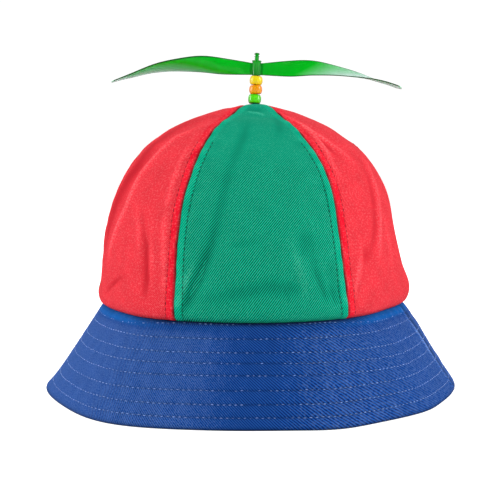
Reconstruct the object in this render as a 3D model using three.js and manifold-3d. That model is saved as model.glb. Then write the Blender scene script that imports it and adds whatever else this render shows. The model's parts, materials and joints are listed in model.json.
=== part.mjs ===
// Propeller cap: six cloth crown panels over a stitched brim, with a beaded post and a spinning propeller.
// Millimetres, +Z up. The origin is on the table, under the middle of the brim. -Y is the front.
// An azimuth is in degrees from the front, positive towards +X.
import * as THREE from 'three';
import { mergeVertices } from 'three/addons/utils/BufferGeometryUtils.js';
import Module from 'manifold-3d';

// Clearance between neighbouring pieces
const PIECE_GAP = 0.3;

// Crown: SEAM_RADIUS is where it is sewn to the brim, for a 58 cm head
const SEAM_RADIUS = 92.5;
const SEAM_HEIGHT = 49.3;
const CROWN_WALL = 1.2;
const CROWN_RADIUS = 94.5;
const CROWN_HEIGHT = 118.8;
// 2 would give an ellipse, and a larger power gives fuller shoulders
const CROWN_POWER = 2.6;
// Below this height over the seam the wall rolls in to the seam
const TUCK_HEIGHT = 8;
// Height over the seam at which the seam's own outline has faded out
const SEAM_FADE = 20;
// The panels' points and the post lift the middle of the top
const PEAK_HEIGHT = 1.5;
const PEAK_SPREAD = 15;
// The crown's middle lies off the brim's middle and bows to one side
const CROWN_OFFSET = 1.9;
const CROWN_BOW = -1.3;
const CROWN_LEAN = 1.25;
const FRONT_PANEL_AZIMUTH = 2.8;
const APEX_HOLE_RADIUS = 1.65;
const PANEL_COLUMNS = 12;
const PANEL_ROWS = 20;
// Above 1, the rows of a panel lie closer together near the seam
const ROW_CROWDING = 1.8;

// Brim
const BRIM_WALL = 2.4;
const BRIM_RADIUS = 126.2;
const BRIM_SEAM_AZIMUTH = 74;
// The brim hangs in below a straight slant on one side, and its hem flares out again
const BRIM_SAG = 3.4;
const BRIM_SAG_AZIMUTH = -90;
const BRIM_SAG_SPREAD = 40;
const HEM_SHARPNESS = 10;
const BRIM_COLUMNS = 36;
const BRIM_ROWS = 6;

// Where the soft outlines of the crown seam and the brim's edge stand out from round
const SEAM_LOBES = [
  { azimuth: -38, spread: 14, out: 3 },
  { azimuth: 60, spread: 18, out: -3.5 },
];
const BRIM_LOBES = [
  { azimuth: -34, spread: 17, out: 6.5 },
  { azimuth: 21, spread: 9, out: 4.5 },
  { azimuth: 46, spread: 6, out: 1.5 },
];

// Dents and swells of the crown: height is over the seam, across and along are the fold's half widths,
// lean turns its long side from upright towards +X, and out is negative for a dent
const FOLDS = [
  { name: 'left shoulder', azimuth: -88, height: 96, across: 45, along: 26, lean: 0, out: 2.4 },
  { name: 'right shoulder', azimuth: 86, height: 88, across: 40, along: 20, lean: 0, out: 0.9 },
  { name: 'right waist', azimuth: 88, height: 42, across: 35, along: 20, lean: 0, out: -3.1 },
  { name: 'right flare', azimuth: 86, height: 11, across: 35, along: 9, lean: 0, out: 3 },
  { name: 'left waist', azimuth: -90, height: 28, across: 40, along: 18, lean: 0, out: -1.4 },
  { name: 'left flare', azimuth: -88, height: 5, across: 35, along: 7, lean: 0, out: 1.2 },
  { name: 'front left crease', azimuth: -16, height: 30, across: 6, along: 24, lean: 22, out: -1.8 },
  { name: 'front right ridge', azimuth: 19, height: 24, across: 6, along: 17, lean: -31, out: 1.4 },
  { name: 'front right dent', azimuth: 27, height: 20, across: 6, along: 13, lean: -40, out: -1.6 },
  { name: 'left side ridge', azimuth: -70, height: 72, across: 7, along: 34, lean: 14, out: 1.2 },
  { name: 'right side ridge', azimuth: 66, height: 40, across: 7, along: 26, lean: 0, out: 1.4 },
];

// Beaded post, standing on the crown's top and leaning towards +X
const POST_LEAN = 2.2;
const POST_RADIUS = 1.25;
const POST_TOP = 31;
const POST_HEAD_RADIUS = 1.6;
const POST_HEAD_HEIGHT = 1.3;
const POST_SIDES = 14;
const BORE_RADIUS = POST_RADIUS + PIECE_GAP;
// The flange hangs this far under the wall, which curves down to its rim
const FLANGE_DROP = 0.85;
const FLANGE_RADIUS = 4.5;
const FLANGE_THICKNESS = 1.2;
const BEAD_RADIUS = 3.7;
const BEAD_HEIGHT = 5.3;
const BEAD_END_RADIUS = 2.5;
const BEAD_SIDES = 16;
const BEAD_ARC_STEPS = 6;

// Propeller: one moulded piece, its barrel running on the post
const BARREL_RADIUS = 2.65;
const BARREL_LIP_RADIUS = 3;
const BARREL_LIP_HEIGHT = 0.8;
const BARREL_HEIGHT = 9.2;
const BARREL_SIDES = 20;
const BLADE_THICKNESS = 0.9;
const BLADE_TIP = 89.2;
const BLADE_TIP_ROUND = 4;
// The rounding stops just short of a point, so that the tip keeps a small end face
const BLADE_TIP_SHARE = 0.99;
const BLADE_YAW = -2.2;
const BLADE_STEPS = 22;
const BLADE_STRIPS = 4;
// One row for each section of a blade: reach from the barrel's axis, rise over the barrel's middle,
// half of the blade's width, and twist of the width from level
const BLADE_SECTIONS = [
  { reach: 2, rise: -0.4, half: 3.5, twist: 87 },
  { reach: 20, rise: 0.7, half: 4.7, twist: 83 },
  { reach: 34, rise: 1.6, half: 5.3, twist: 60 },
  { reach: 48, rise: 0.6, half: 5.7, twist: 36 },
  { reach: 62, rise: -1.7, half: 6.1, twist: 19 },
  { reach: 76, rise: -5.8, half: 6, twist: 2 },
  { reach: 92, rise: -11.6, half: 5.7, twist: -5 },
];

const GREEN_CLOTH = 0x149a78;
const RED_CLOTH = 0xee3f4a;
const BLUE_CLOTH = 0x2a4c9c;
const GREEN_PLASTIC = 0x0fae28;
const LIME_PLASTIC = 0x5fdc33;
const ORANGE_PLASTIC = 0xf98f16;
const YELLOW_PLASTIC = 0xf2d21c;

// Crown panels in order from the front, turning towards +X
const PANELS = [
  { name: 'crown_panel_front', colour: GREEN_CLOTH },
  { name: 'crown_panel_front_right', colour: RED_CLOTH },
  { name: 'crown_panel_rear_right', colour: GREEN_CLOTH },
  { name: 'crown_panel_rear', colour: RED_CLOTH },
  { name: 'crown_panel_rear_left', colour: GREEN_CLOTH },
  { name: 'crown_panel_front_left', colour: RED_CLOTH },
];
const PANEL_TURN = 360 / PANELS.length;
const BEADS = [
  { name: 'bead_lime', colour: LIME_PLASTIC },
  { name: 'bead_orange', colour: ORANGE_PLASTIC },
  { name: 'bead_yellow', colour: YELLOW_PLASTIC },
];
const BRIM_HALVES = [
  { name: 'brim_front', from: BRIM_SEAM_AZIMUTH - 180 },
  { name: 'brim_rear', from: BRIM_SEAM_AZIMUTH },
];

const { degToRad, lerp, clamp } = THREE.MathUtils;
const wasm = await Module();
wasm.setup();

// A bell-shaped share: 1 in the middle, fading out past one spread
function bell(distance, spread) {
  return Math.exp(-((distance / spread) ** 2));
}

// The difference of two azimuths, from -180 to 180 degrees
function turnBetween(azimuth, other) {
  return THREE.MathUtils.euclideanModulo(azimuth - other + 180, 360) - 180;
}

function lobed(radius, lobes, azimuth) {
  let result = radius;
  for (const lobe of lobes) {
    result += lobe.out * bell(turnBetween(azimuth, lobe.azimuth), lobe.spread);
  }
  return result;
}

function atAzimuth(middleX, radius, azimuth, height) {
  const angle = degToRad(azimuth);
  return new THREE.Vector3(middleX + radius * Math.sin(angle), -radius * Math.cos(angle), height);
}

// How far the crown's folds push its wall out, at an azimuth and a height over the seam
function foldOffset(azimuth, height, radius) {
  let offset = 0;
  for (const fold of FOLDS) {
    const sideways = radius * degToRad(turnBetween(azimuth, fold.azimuth));
    const upwards = height - fold.height;
    const lean = degToRad(fold.lean);
    const across = sideways * Math.cos(lean) - upwards * Math.sin(lean);
    const along = sideways * Math.sin(lean) + upwards * Math.cos(lean);
    offset += fold.out * bell(across, fold.across) * bell(along, fold.along);
  }
  return offset;
}

// A point of the crown's outer face: climb goes from 0 at the seam to TOP_CLIMB at the hole in the top
const TOP_CLIMB = Math.acos(APEX_HOLE_RADIUS / CROWN_RADIUS);
function crownPoint(azimuth, climb) {
  const height = CROWN_HEIGHT * Math.sin(climb) ** (2 / CROWN_POWER);
  const roundRadius = CROWN_RADIUS * Math.cos(climb);
  const below = clamp(1 - height / TUCK_HEIGHT, 0, 1);
  const tuck = (CROWN_RADIUS - SEAM_RADIUS) * (1 - Math.sqrt(1 - below ** 2));
  const seamShape = lobed(0, SEAM_LOBES, azimuth) * bell(height, SEAM_FADE);
  const push = foldOffset(azimuth, height, roundRadius);
  const radius = roundRadius - tuck + seamShape + push * Math.cos(climb);
  const peak = PEAK_HEIGHT * bell(radius, PEAK_SPREAD);
  const share = height / CROWN_HEIGHT;
  const middle = CROWN_OFFSET + CROWN_BOW * Math.sin(Math.PI * share) + CROWN_LEAN * share;
  const level = SEAM_HEIGHT + PIECE_GAP / 2 + height + push * Math.sin(climb) + peak;
  return atAzimuth(middle, radius, azimuth, level);
}

// The outward normal of the crown, from its slopes over a small step around and up the wall
const AZIMUTH_STEP = 0.5;
const CLIMB_STEP = 0.01;
function crownNormal(azimuth, climb) {
  const around = crownPoint(azimuth + AZIMUTH_STEP, climb).sub(crownPoint(azimuth - AZIMUTH_STEP, climb));
  const lower = crownPoint(azimuth, Math.max(climb - CLIMB_STEP, 0));
  const up = crownPoint(azimuth, climb + CLIMB_STEP).sub(lower);
  return around.cross(up).normalize();
}

// A closed wall between an outer and an inner face, both given over 0 to 1 across and 0 to 1 upwards
function wallGeometry(columns, rows, outerPoint, innerPoint) {
  const positions = [];
  const indices = [];
  const layer = (columns + 1) * (rows + 1);
  const vertex = (column, row) => row * (columns + 1) + column;
  for (const face of [outerPoint, innerPoint]) {
    for (let row = 0; row <= rows; row += 1) {
      for (let column = 0; column <= columns; column += 1) {
        const point = face(column / columns, row / rows);
        positions.push(point.x, point.y, point.z);
      }
    }
  }
  for (let row = 0; row < rows; row += 1) {
    for (let column = 0; column < columns; column += 1) {
      const a = vertex(column, row);
      const b = vertex(column + 1, row);
      const c = vertex(column + 1, row + 1);
      const d = vertex(column, row + 1);
      indices.push(a, b, c, a, c, d);
      indices.push(layer + a, layer + c, layer + b, layer + a, layer + d, layer + c);
    }
  }
  const edge = (a, b) => indices.push(b, a, layer + a, b, layer + a, layer + b);
  for (let column = 0; column < columns; column += 1) {
    edge(vertex(column, 0), vertex(column + 1, 0));
    edge(vertex(column + 1, rows), vertex(column, rows));
  }
  for (let row = 0; row < rows; row += 1) {
    edge(vertex(columns, row), vertex(columns, row + 1));
    edge(vertex(0, row + 1), vertex(0, row));
  }
  const geometry = new THREE.BufferGeometry();
  geometry.setAttribute('position', new THREE.Float32BufferAttribute(positions, 3));
  geometry.setIndex(indices);
  geometry.computeVertexNormals();
  return geometry;
}

// One of the six crown panels: a curved triangle from the seam to the hole at the top
function crownPanelGeometry(middleAzimuth) {
  const place = (across, upwards) => {
    const climb = TOP_CLIMB * upwards ** ROW_CROWDING;
    const gapTurn = THREE.MathUtils.radToDeg(PIECE_GAP / 2 / (CROWN_RADIUS * Math.cos(climb)));
    const halfTurn = PANEL_TURN / 2 - gapTurn;
    return { azimuth: middleAzimuth + lerp(-halfTurn, halfTurn, across), climb };
  };
  const outer = (across, upwards) => {
    const { azimuth, climb } = place(across, upwards);
    return crownPoint(azimuth, climb);
  };
  const inner = (across, upwards) => {
    const { azimuth, climb } = place(across, upwards);
    const normal = crownNormal(azimuth, climb);
    if (upwards === 0) {
      normal.setZ(0).normalize();
    }
    return crownPoint(azimuth, climb).addScaledVector(normal, -CROWN_WALL);
  };
  return wallGeometry(PANEL_COLUMNS, PANEL_ROWS, outer, inner);
}

// Half of the brim: a slanted wall whose lower edge lies flat on the table
function brimGeometry(fromAzimuth) {
  const top = SEAM_HEIGHT - PIECE_GAP / 2;
  const slant = Math.atan2(BRIM_RADIUS - SEAM_RADIUS, top);
  const levelWall = BRIM_WALL / Math.cos(slant);
  const gapTurn = THREE.MathUtils.radToDeg(PIECE_GAP / 2 / BRIM_RADIUS);
  const place = (across, upwards, inset) => {
    const azimuth = fromAzimuth + lerp(gapTurn, 180 - gapTurn, across);
    const edgeRadius = lobed(BRIM_RADIUS, BRIM_LOBES, azimuth);
    const seamRadius = lobed(SEAM_RADIUS, SEAM_LOBES, azimuth);
    const down = 1 - upwards;
    const side = bell(turnBetween(azimuth, BRIM_SAG_AZIMUTH), BRIM_SAG_SPREAD);
    const sag = BRIM_SAG * side * down * (1 - down ** HEM_SHARPNESS);
    const radius = lerp(seamRadius, edgeRadius, down) - sag - inset;
    return atAzimuth(CROWN_OFFSET * upwards, radius, azimuth, top * upwards);
  };
  const outer = (across, upwards) => place(across, upwards, 0);
  const inner = (across, upwards) => place(across, upwards, levelWall);
  return wallGeometry(BRIM_COLUMNS, BRIM_ROWS, outer, inner);
}

// A solid of revolution about Z, from [radius, height] pairs that go up its outside
function turnedGeometry(profile, sides) {
  const points = profile.map(([radius, height]) => new THREE.Vector2(radius, height));
  return new THREE.LatheGeometry(points, sides).rotateX(Math.PI / 2);
}

// A rounded bead, drilled for the post, with its lower end at height 0
function beadGeometry() {
  const profile = [[BORE_RADIUS, 0]];
  const steepest = Math.acos(BEAD_END_RADIUS / BEAD_RADIUS);
  for (let step = 0; step <= BEAD_ARC_STEPS; step += 1) {
    const angle = lerp(-steepest, steepest, step / BEAD_ARC_STEPS);
    const height = (BEAD_HEIGHT / 2) * (1 + Math.sin(angle) / Math.sin(steepest));
    profile.push([BEAD_RADIUS * Math.cos(angle), height]);
  }
  profile.push([BORE_RADIUS, BEAD_HEIGHT], [BORE_RADIUS, 0]);
  return turnedGeometry(profile, BEAD_SIDES);
}

// The post, from its flange inside the crown to its head, with height 0 at the crown's top
function postGeometry() {
  const flangeTop = -(CROWN_WALL + FLANGE_DROP);
  const flangeFoot = flangeTop - FLANGE_THICKNESS;
  const profile = [
    [0, flangeFoot],
    [FLANGE_RADIUS, flangeFoot],
    [FLANGE_RADIUS, flangeTop],
    [POST_RADIUS, flangeTop],
    [POST_RADIUS, POST_TOP - POST_HEAD_HEIGHT],
    [POST_HEAD_RADIUS, POST_TOP - POST_HEAD_HEIGHT],
    [POST_HEAD_RADIUS, POST_TOP],
    [0, POST_TOP],
  ];
  return turnedGeometry(profile, POST_SIDES);
}

// The value of one column of the blade's table at a reach, on a smooth curve through its rows
function bladeValue(column, reach) {
  const last = BLADE_SECTIONS.length - 1;
  let row = 0;
  while (row < last - 1 && BLADE_SECTIONS[row + 1].reach < reach) {
    row += 1;
  }
  const slope = (index) => {
    const before = BLADE_SECTIONS[Math.max(index - 1, 0)];
    const after = BLADE_SECTIONS[Math.min(index + 1, last)];
    return (after[column] - before[column]) / (after.reach - before.reach);
  };
  const from = BLADE_SECTIONS[row];
  const to = BLADE_SECTIONS[row + 1];
  const span = to.reach - from.reach;
  const t = (reach - from.reach) / span;
  const ends = lerp(from[column], to[column], t * t * (3 - 2 * t));
  const bends = slope(row) * t * (1 - t) ** 2 - slope(row + 1) * t * t * (1 - t);
  return ends + span * bends;
}

// One blade along +X: a thin twisted plate with a rounded tip, its root inside the barrel's wall
function bladeGeometry() {
  const root = BLADE_SECTIONS[0].reach;
  const plate = (side) => (across, outwards) => {
    const reach = lerp(root, BLADE_TIP, Math.sin(outwards * Math.PI / 2));
    const intoTip = clamp((reach - BLADE_TIP) / BLADE_TIP_ROUND + 1, 0, BLADE_TIP_SHARE);
    const half = bladeValue('half', reach) * Math.sqrt(1 - intoTip ** 2);
    const twist = degToRad(bladeValue('twist', reach));
    const width = lerp(half, -half, across);
    const lift = side * BLADE_THICKNESS / 2;
    const y = width * Math.cos(twist) - lift * Math.sin(twist);
    const z = width * Math.sin(twist) + lift * Math.cos(twist);
    return new THREE.Vector3(reach, y, bladeValue('rise', reach) + z);
  };
  return wallGeometry(BLADE_STRIPS, BLADE_STEPS, plate(1), plate(-1));
}

// Geometry to a solid that can be joined and cut, with vertices closer than MERGE_DISTANCE shared
const MERGE_DISTANCE = 1e-4;
function toSolid(geometry) {
  const bare = geometry.clone();
  bare.deleteAttribute('normal');
  bare.deleteAttribute('uv');
  const merged = mergeVertices(bare, MERGE_DISTANCE);
  const vertProperties = new Float32Array(merged.attributes.position.array);
  const triVerts = new Uint32Array(merged.index.array);
  const mesh = new wasm.Mesh({ numProp: 3, vertProperties, triVerts });
  mesh.merge();
  return new wasm.Manifold(mesh);
}

function toGeometry(solid) {
  const mesh = solid.getMesh();
  const geometry = new THREE.BufferGeometry();
  geometry.setAttribute('position', new THREE.Float32BufferAttribute(mesh.vertProperties, 3));
  geometry.setIndex(Array.from(mesh.triVerts));
  geometry.computeVertexNormals();
  return geometry;
}

// The propeller about its own axis, with height 0 at the barrel's middle
function propellerGeometry() {
  const half = BARREL_HEIGHT / 2;
  const profile = [
    [0, -half],
    [BARREL_RADIUS, -half],
    [BARREL_RADIUS, half - BARREL_LIP_HEIGHT],
    [BARREL_LIP_RADIUS, half - BARREL_LIP_HEIGHT / 2],
    [BARREL_RADIUS, half],
    [0, half],
  ];
  let solid = toSolid(turnedGeometry(profile, BARREL_SIDES));
  for (const turn of [0, Math.PI]) {
    solid = solid.add(toSolid(bladeGeometry().rotateZ(turn + degToRad(BLADE_YAW))));
  }
  const bore = new THREE.CylinderGeometry(BORE_RADIUS, BORE_RADIUS, 2 * BARREL_HEIGHT, BARREL_SIDES);
  return toGeometry(solid.subtract(toSolid(bore.rotateX(Math.PI / 2))));
}

function cloth(colour) {
  return new THREE.MeshStandardMaterial({ color: colour, roughness: 0.9, metalness: 0 });
}

function plastic(colour) {
  return new THREE.MeshStandardMaterial({ color: colour, roughness: 0.22, metalness: 0 });
}

function namedMesh(name, geometry, material) {
  const mesh = new THREE.Mesh(geometry, material);
  mesh.name = name;
  return mesh;
}

const cap = new THREE.Group();
PANELS.forEach((panel, index) => {
  const azimuth = FRONT_PANEL_AZIMUTH + index * PANEL_TURN;
  cap.add(namedMesh(panel.name, crownPanelGeometry(azimuth), cloth(panel.colour)));
});
for (const half of BRIM_HALVES) {
  cap.add(namedMesh(half.name, brimGeometry(half.from), cloth(BLUE_CLOTH)));
}

// The post's group stands on the crown's top, with each piece stacked on the one below
const beadString = new THREE.Group();
const crownTop = crownPoint(FRONT_PANEL_AZIMUTH, TOP_CLIMB).z;
beadString.position.set(CROWN_OFFSET + CROWN_LEAN, 0, crownTop);
beadString.rotation.y = degToRad(POST_LEAN);
beadString.add(namedMesh('post', postGeometry(), plastic(GREEN_PLASTIC)));
let stackHeight = PIECE_GAP;
for (const bead of BEADS) {
  const mesh = namedMesh(bead.name, beadGeometry(), plastic(bead.colour));
  mesh.position.z = stackHeight;
  beadString.add(mesh);
  stackHeight += BEAD_HEIGHT + PIECE_GAP;
}
const propeller = namedMesh('propeller', propellerGeometry(), plastic(GREEN_PLASTIC));
propeller.position.z = stackHeight + BARREL_HEIGHT / 2;
beadString.add(propeller);
cap.add(beadString);

export default cap;
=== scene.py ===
# %% [markdown]
# # A propeller cap
# This lesson dresses a propeller cap: six cloth panels sewn into a crown, a stitched brim, and a short
# string of beads that carries a propeller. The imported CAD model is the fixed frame. Its solids have the
# true sizes and places and stay in the simulation, but they are plain, so each piece made here is shown in
# place of one of them. Lengths are written in millimetres, as on a cutting pattern, and a mesh is scaled to
# metres when it is made.

# %% Load the frame
import json
import math
from collections import namedtuple

import bpy
import numpy as np
from mathutils import Matrix, Vector


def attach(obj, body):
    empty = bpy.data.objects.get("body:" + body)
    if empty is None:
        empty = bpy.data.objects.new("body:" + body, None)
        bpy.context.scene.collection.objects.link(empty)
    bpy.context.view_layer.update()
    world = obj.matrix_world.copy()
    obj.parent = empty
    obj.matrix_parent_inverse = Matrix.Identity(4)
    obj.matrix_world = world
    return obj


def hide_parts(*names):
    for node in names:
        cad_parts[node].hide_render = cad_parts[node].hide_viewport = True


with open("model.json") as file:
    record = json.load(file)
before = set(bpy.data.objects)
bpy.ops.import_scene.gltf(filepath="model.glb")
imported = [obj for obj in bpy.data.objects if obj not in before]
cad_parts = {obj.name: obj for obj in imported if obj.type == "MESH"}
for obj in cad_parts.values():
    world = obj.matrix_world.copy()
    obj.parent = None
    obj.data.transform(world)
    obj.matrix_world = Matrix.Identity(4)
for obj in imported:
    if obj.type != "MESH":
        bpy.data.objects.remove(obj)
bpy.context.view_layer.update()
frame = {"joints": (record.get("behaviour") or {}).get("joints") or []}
MM = 0.001

# %% [markdown]
# ## Camera
# The cap was seen from a little below the top of its crown, from about 60 cm away. A camera has no scale of
# its own: the focal length in pixels, over the picture's width in pixels, gives the lens for any sensor
# width.

# %% Camera
PICTURE_PIXELS = 500
FOCAL_PIXELS = 997.4
SENSOR_WIDTH = 36
CAMERA_PLACE = (0, -619.5, 135.8)
CAMERA_TILT_DOWN = 5.1
NEAREST_SEEN = 0.01

camera_data = bpy.data.cameras.new("camera")
camera_data.sensor_width = SENSOR_WIDTH
camera_data.lens = FOCAL_PIXELS / PICTURE_PIXELS * SENSOR_WIDTH
camera_data.clip_start = NEAREST_SEEN
camera = bpy.data.objects.new("camera", camera_data)
camera.location = Vector(CAMERA_PLACE) * MM
camera.rotation_euler = (math.radians(90 - CAMERA_TILT_DOWN), 0, 0)
scene = bpy.context.scene
scene.collection.objects.link(camera)
scene.camera = camera
print("lens in mm:", round(camera_data.lens, 2))

# %% [markdown]
# ## Colours and shader nodes
# A picture's colours are stored with a curve, but shaders add up light, so a picked colour is first made
# linear. The other helpers add nodes: each sets an input to a plain value, or links it to a socket.

# %% Colours and shader nodes
def linear(red, green, blue):
    """A colour of 0 to 255, as seen on a screen, as the linear colour that a shader takes."""
    parts = [part / 255 for part in (red, green, blue)]
    return [part / 12.92 if part <= 0.04045 else ((part + 0.055) / 1.055) ** 2.4 for part in parts] + [1]


def feed(tree, socket, value):
    """Links a socket to another one, or sets its plain value."""
    if isinstance(value, bpy.types.NodeSocket):
        tree.links.new(value, socket)
    else:
        socket.default_value = value


def add_node(tree, kind, inputs=None, **settings):
    """A new shader node with its settings, and its inputs set or linked by name."""
    node = tree.nodes.new("ShaderNode" + kind)
    for name, value in settings.items():
        setattr(node, name, value)
    for name, value in (inputs or {}).items():
        feed(tree, node.inputs[name], value)
    return node


def worked_out(tree, operation, *values, clamp=False):
    """The result of a Math node on sockets or plain numbers, kept from 0 to 1 where clamped."""
    node = add_node(tree, "Math", operation=operation, use_clamp=clamp)
    for socket, value in zip(node.inputs, values):
        feed(tree, socket, value)
    return node.outputs[0]


def mixed(tree, share, first, second):
    """The result of a colour mix, from first at share 0 to second at share 1."""
    node = add_node(tree, "Mix", data_type="RGBA")
    sockets = {socket.identifier: socket for socket in node.inputs}
    feed(tree, sockets["Factor_Float"], share)
    feed(tree, sockets["A_Color"], first)
    feed(tree, sockets["B_Color"], second)
    return next(socket for socket in node.outputs if socket.identifier == "Result_Color")


def tone_at(tree, tone):
    """The tone of that name, a number that a mesh carries for each of its points."""
    return add_node(tree, "Attribute", attribute_name=tone).outputs["Fac"]


def new_material(name, settings):
    """A material whose Principled shader has these inputs set, with its node tree and that shader."""
    material = bpy.data.materials.new(name)
    material.use_nodes = True
    shader = material.node_tree.nodes["Principled BSDF"]
    for socket, value in settings.items():
        shader.inputs[socket].default_value = value
    return material, material.node_tree, shader


print("middle grey, linear:", round(linear(128, 128, 128)[0], 3))

# %% [markdown]
# ## Floor
# The cap stands on a pale table: one large square, a hair under the brim so that the two don't touch. Its
# paper glows, but only for rays that come straight from the camera. The ground of the picture is white
# then, and no more light falls on the cap.

# %% Floor
HALF_FLOOR = 7
FLOOR_LEVEL = -0.0002
PAPER_GLOW = 0.86
floor_corners = [(-1, -1), (1, -1), (1, 1), (-1, 1)]
floor_points = [(x * HALF_FLOOR, y * HALF_FLOOR, FLOOR_LEVEL) for x, y in floor_corners]
floor_mesh = bpy.data.meshes.new("floor")
floor_mesh.from_pydata(floor_points, [], [(0, 1, 2, 3)])
floor = bpy.data.objects.new("floor", floor_mesh)
scene.collection.objects.link(floor)
paper, paper_tree, paper_shader = new_material("white_paper", {
    "Base Color": (0.8, 0.8, 0.8, 1),
    "Roughness": 0.9,
    "Specular IOR Level": 0,
    "Emission Color": (1, 1, 1, 1),
})
seen_share = add_node(paper_tree, "LightPath").outputs["Is Camera Ray"]
glow = worked_out(paper_tree, "MULTIPLY", seen_share, PAPER_GLOW)
feed(paper_tree, paper_shader.inputs["Emission Strength"], glow)
floor_mesh.materials.append(paper)
print("floor, metres across:", 2 * HALF_FLOOR)

# %% [markdown]
# ## Light of the room
# The world lights the cap a little from everywhere, so that no side is black. What glossy plastic mirrors
# is set apart from that: a dim room in front of the cap and a bright one behind it. The standard view shows
# colours as they were picked, without the curve of a film.

# %% Light of the room
scene.view_settings.view_transform = "Standard"
scene.view_settings.look = "None"
WORLD_SEEN = 1.05
WORLD_LIGHT = 0.24
MIRRORED_FRONT = 0.05
MIRRORED_BACK = 0.95
# The mirrored room brightens between these headings, where -1 is the front and 1 the back
FRONT_HEADING = -0.3
BACK_HEADING = 0.6

world = bpy.data.worlds.new("bright_room")
world.use_nodes = True
scene.world = world
room = world.node_tree
ray = add_node(room, "LightPath").outputs
heading = add_node(room, "SeparateXYZ", {"Vector": add_node(room, "TexCoord").outputs["Generated"]})
to_back = add_node(room, "MapRange", {
    "Value": heading.outputs["Y"],
    "From Min": FRONT_HEADING,
    "From Max": BACK_HEADING,
    "To Min": MIRRORED_FRONT - WORLD_LIGHT,
    "To Max": MIRRORED_BACK - WORLD_LIGHT,
})
lit = worked_out(room, "MULTIPLY_ADD", ray["Is Glossy Ray"], to_back.outputs["Result"], WORLD_LIGHT)
strength = worked_out(room, "MULTIPLY_ADD", ray["Is Camera Ray"], WORLD_SEEN - WORLD_LIGHT, lit)
backdrop = room.nodes["Background"]
feed(room, backdrop.inputs["Strength"], strength)
backdrop.inputs["Color"].default_value = (1, 1, 1, 1)
print("light of the room:", WORLD_LIGHT)

# %% [markdown]
# ## Soft boxes
# Wide soft boxes give broad, soft-edged light, as a cloud does: one in front and above, one on top, one
# behind, and a tall one at each side. The side ones are mirrored too, and draw the upright glints on the
# beads.

# %% Soft boxes
# Place and size, which is width and height, are in metres, and power is in watts
SoftBox = namedtuple("SoftBox", "name place size power mirrored")
SOFT_BOXES = [
    SoftBox("front", (0.3, -1.9, 0.8), (0.9, 0.7), 14, False),
    SoftBox("left", (-1.35, -0.15, 0.5), (0.4, 0.9), 11.5, True),
    SoftBox("right", (1.3, -0.4, 0.55), (0.4, 0.9), 10, True),
    SoftBox("top", (0, 0.3, 1.6), (1.2, 0.8), 5, False),
    SoftBox("rear", (0, 1.7, 1.0), (1.4, 0.9), 9, False),
]
LIGHT_AIM = Vector((0, 0, 0.1))
for soft_box in SOFT_BOXES:
    light = bpy.data.lights.new("soft_box_" + soft_box.name, "AREA")
    light.shape = "RECTANGLE"
    light.size, light.size_y = soft_box.size
    light.energy = soft_box.power
    lamp = bpy.data.objects.new("soft_box_" + soft_box.name, light)
    lamp.location = soft_box.place
    lamp.rotation_euler = (LIGHT_AIM - Vector(soft_box.place)).to_track_quat("-Z", "Y").to_euler()
    lamp.visible_glossy = soft_box.mirrored
    scene.collection.objects.link(lamp)
print("soft boxes:", len(SOFT_BOXES))

# %% [markdown]
# ## Soft shapes
# Cloth is seldom round. A bell curve is the simplest way to push one place out and leave the rest alone,
# and a few of them added up make lobes and folds. Seeded sine waves give the small unevenness that no table
# can list.

# %% Soft shapes
def bell(distance, spread):
    """1 in the middle, fading out past one spread."""
    return np.exp(-((distance / spread) ** 2))


def ramp(low, high, value):
    """0 below low, 1 above high, with a smooth rise between."""
    share = np.clip((value - low) / (high - low), 0, 1)
    return share * share * (3 - 2 * share)


def turn_between(azimuth, other):
    """The difference of two azimuths, from -180 to 180 degrees."""
    return (azimuth - other + 180) % 360 - 180


def at_azimuth(middle_x, radius, azimuth, height):
    """Points at an azimuth in degrees from the front, -Y, positive towards +X."""
    angle = np.radians(azimuth)
    x = middle_x + radius * np.sin(angle)
    y = -radius * np.cos(angle)
    return np.stack(np.broadcast_arrays(x, y, height), -1)


def unit(vectors):
    """Vectors of length 1 in the same directions."""
    return vectors / np.linalg.norm(vectors, axis=-1, keepdims=True)


def seeded_waves(rng, shortest, longest, count):
    """A function of two lengths, about -1 to 1: a sum of sine waves of seeded length and direction."""
    rows = list(zip(rng.uniform(shortest, longest, count), *rng.uniform(0, 2 * math.pi, (2, count))))

    def waves(along, sideways):
        total = 0
        for length, angle, phase in rows:
            way = along * math.cos(angle) + sideways * math.sin(angle)
            total = total + np.sin(2 * math.pi * way / length + phase)
        return total / math.sqrt(count)

    return waves


Lobe = namedtuple("Lobe", "azimuth spread out")


def lobed(radius, lobes, azimuth):
    """A radius with lobes that stand out from round."""
    return radius + sum(lobe.out * bell(turn_between(azimuth, lobe.azimuth), lobe.spread) for lobe in lobes)


print("bell at one spread:", round(float(bell(1, 1)), 3))

# %% [markdown]
# ## Folds of the crown
# Two tables push the plain dome in and out. The first rows of the folds are swells of the whole dome, the
# next ones are its largest creases, and the solids have all of these too. The last two rows only trim the
# outline. The swells are the gathered seams at the top: a rise under the beads, a lump in front of it, and
# a dip.

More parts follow.
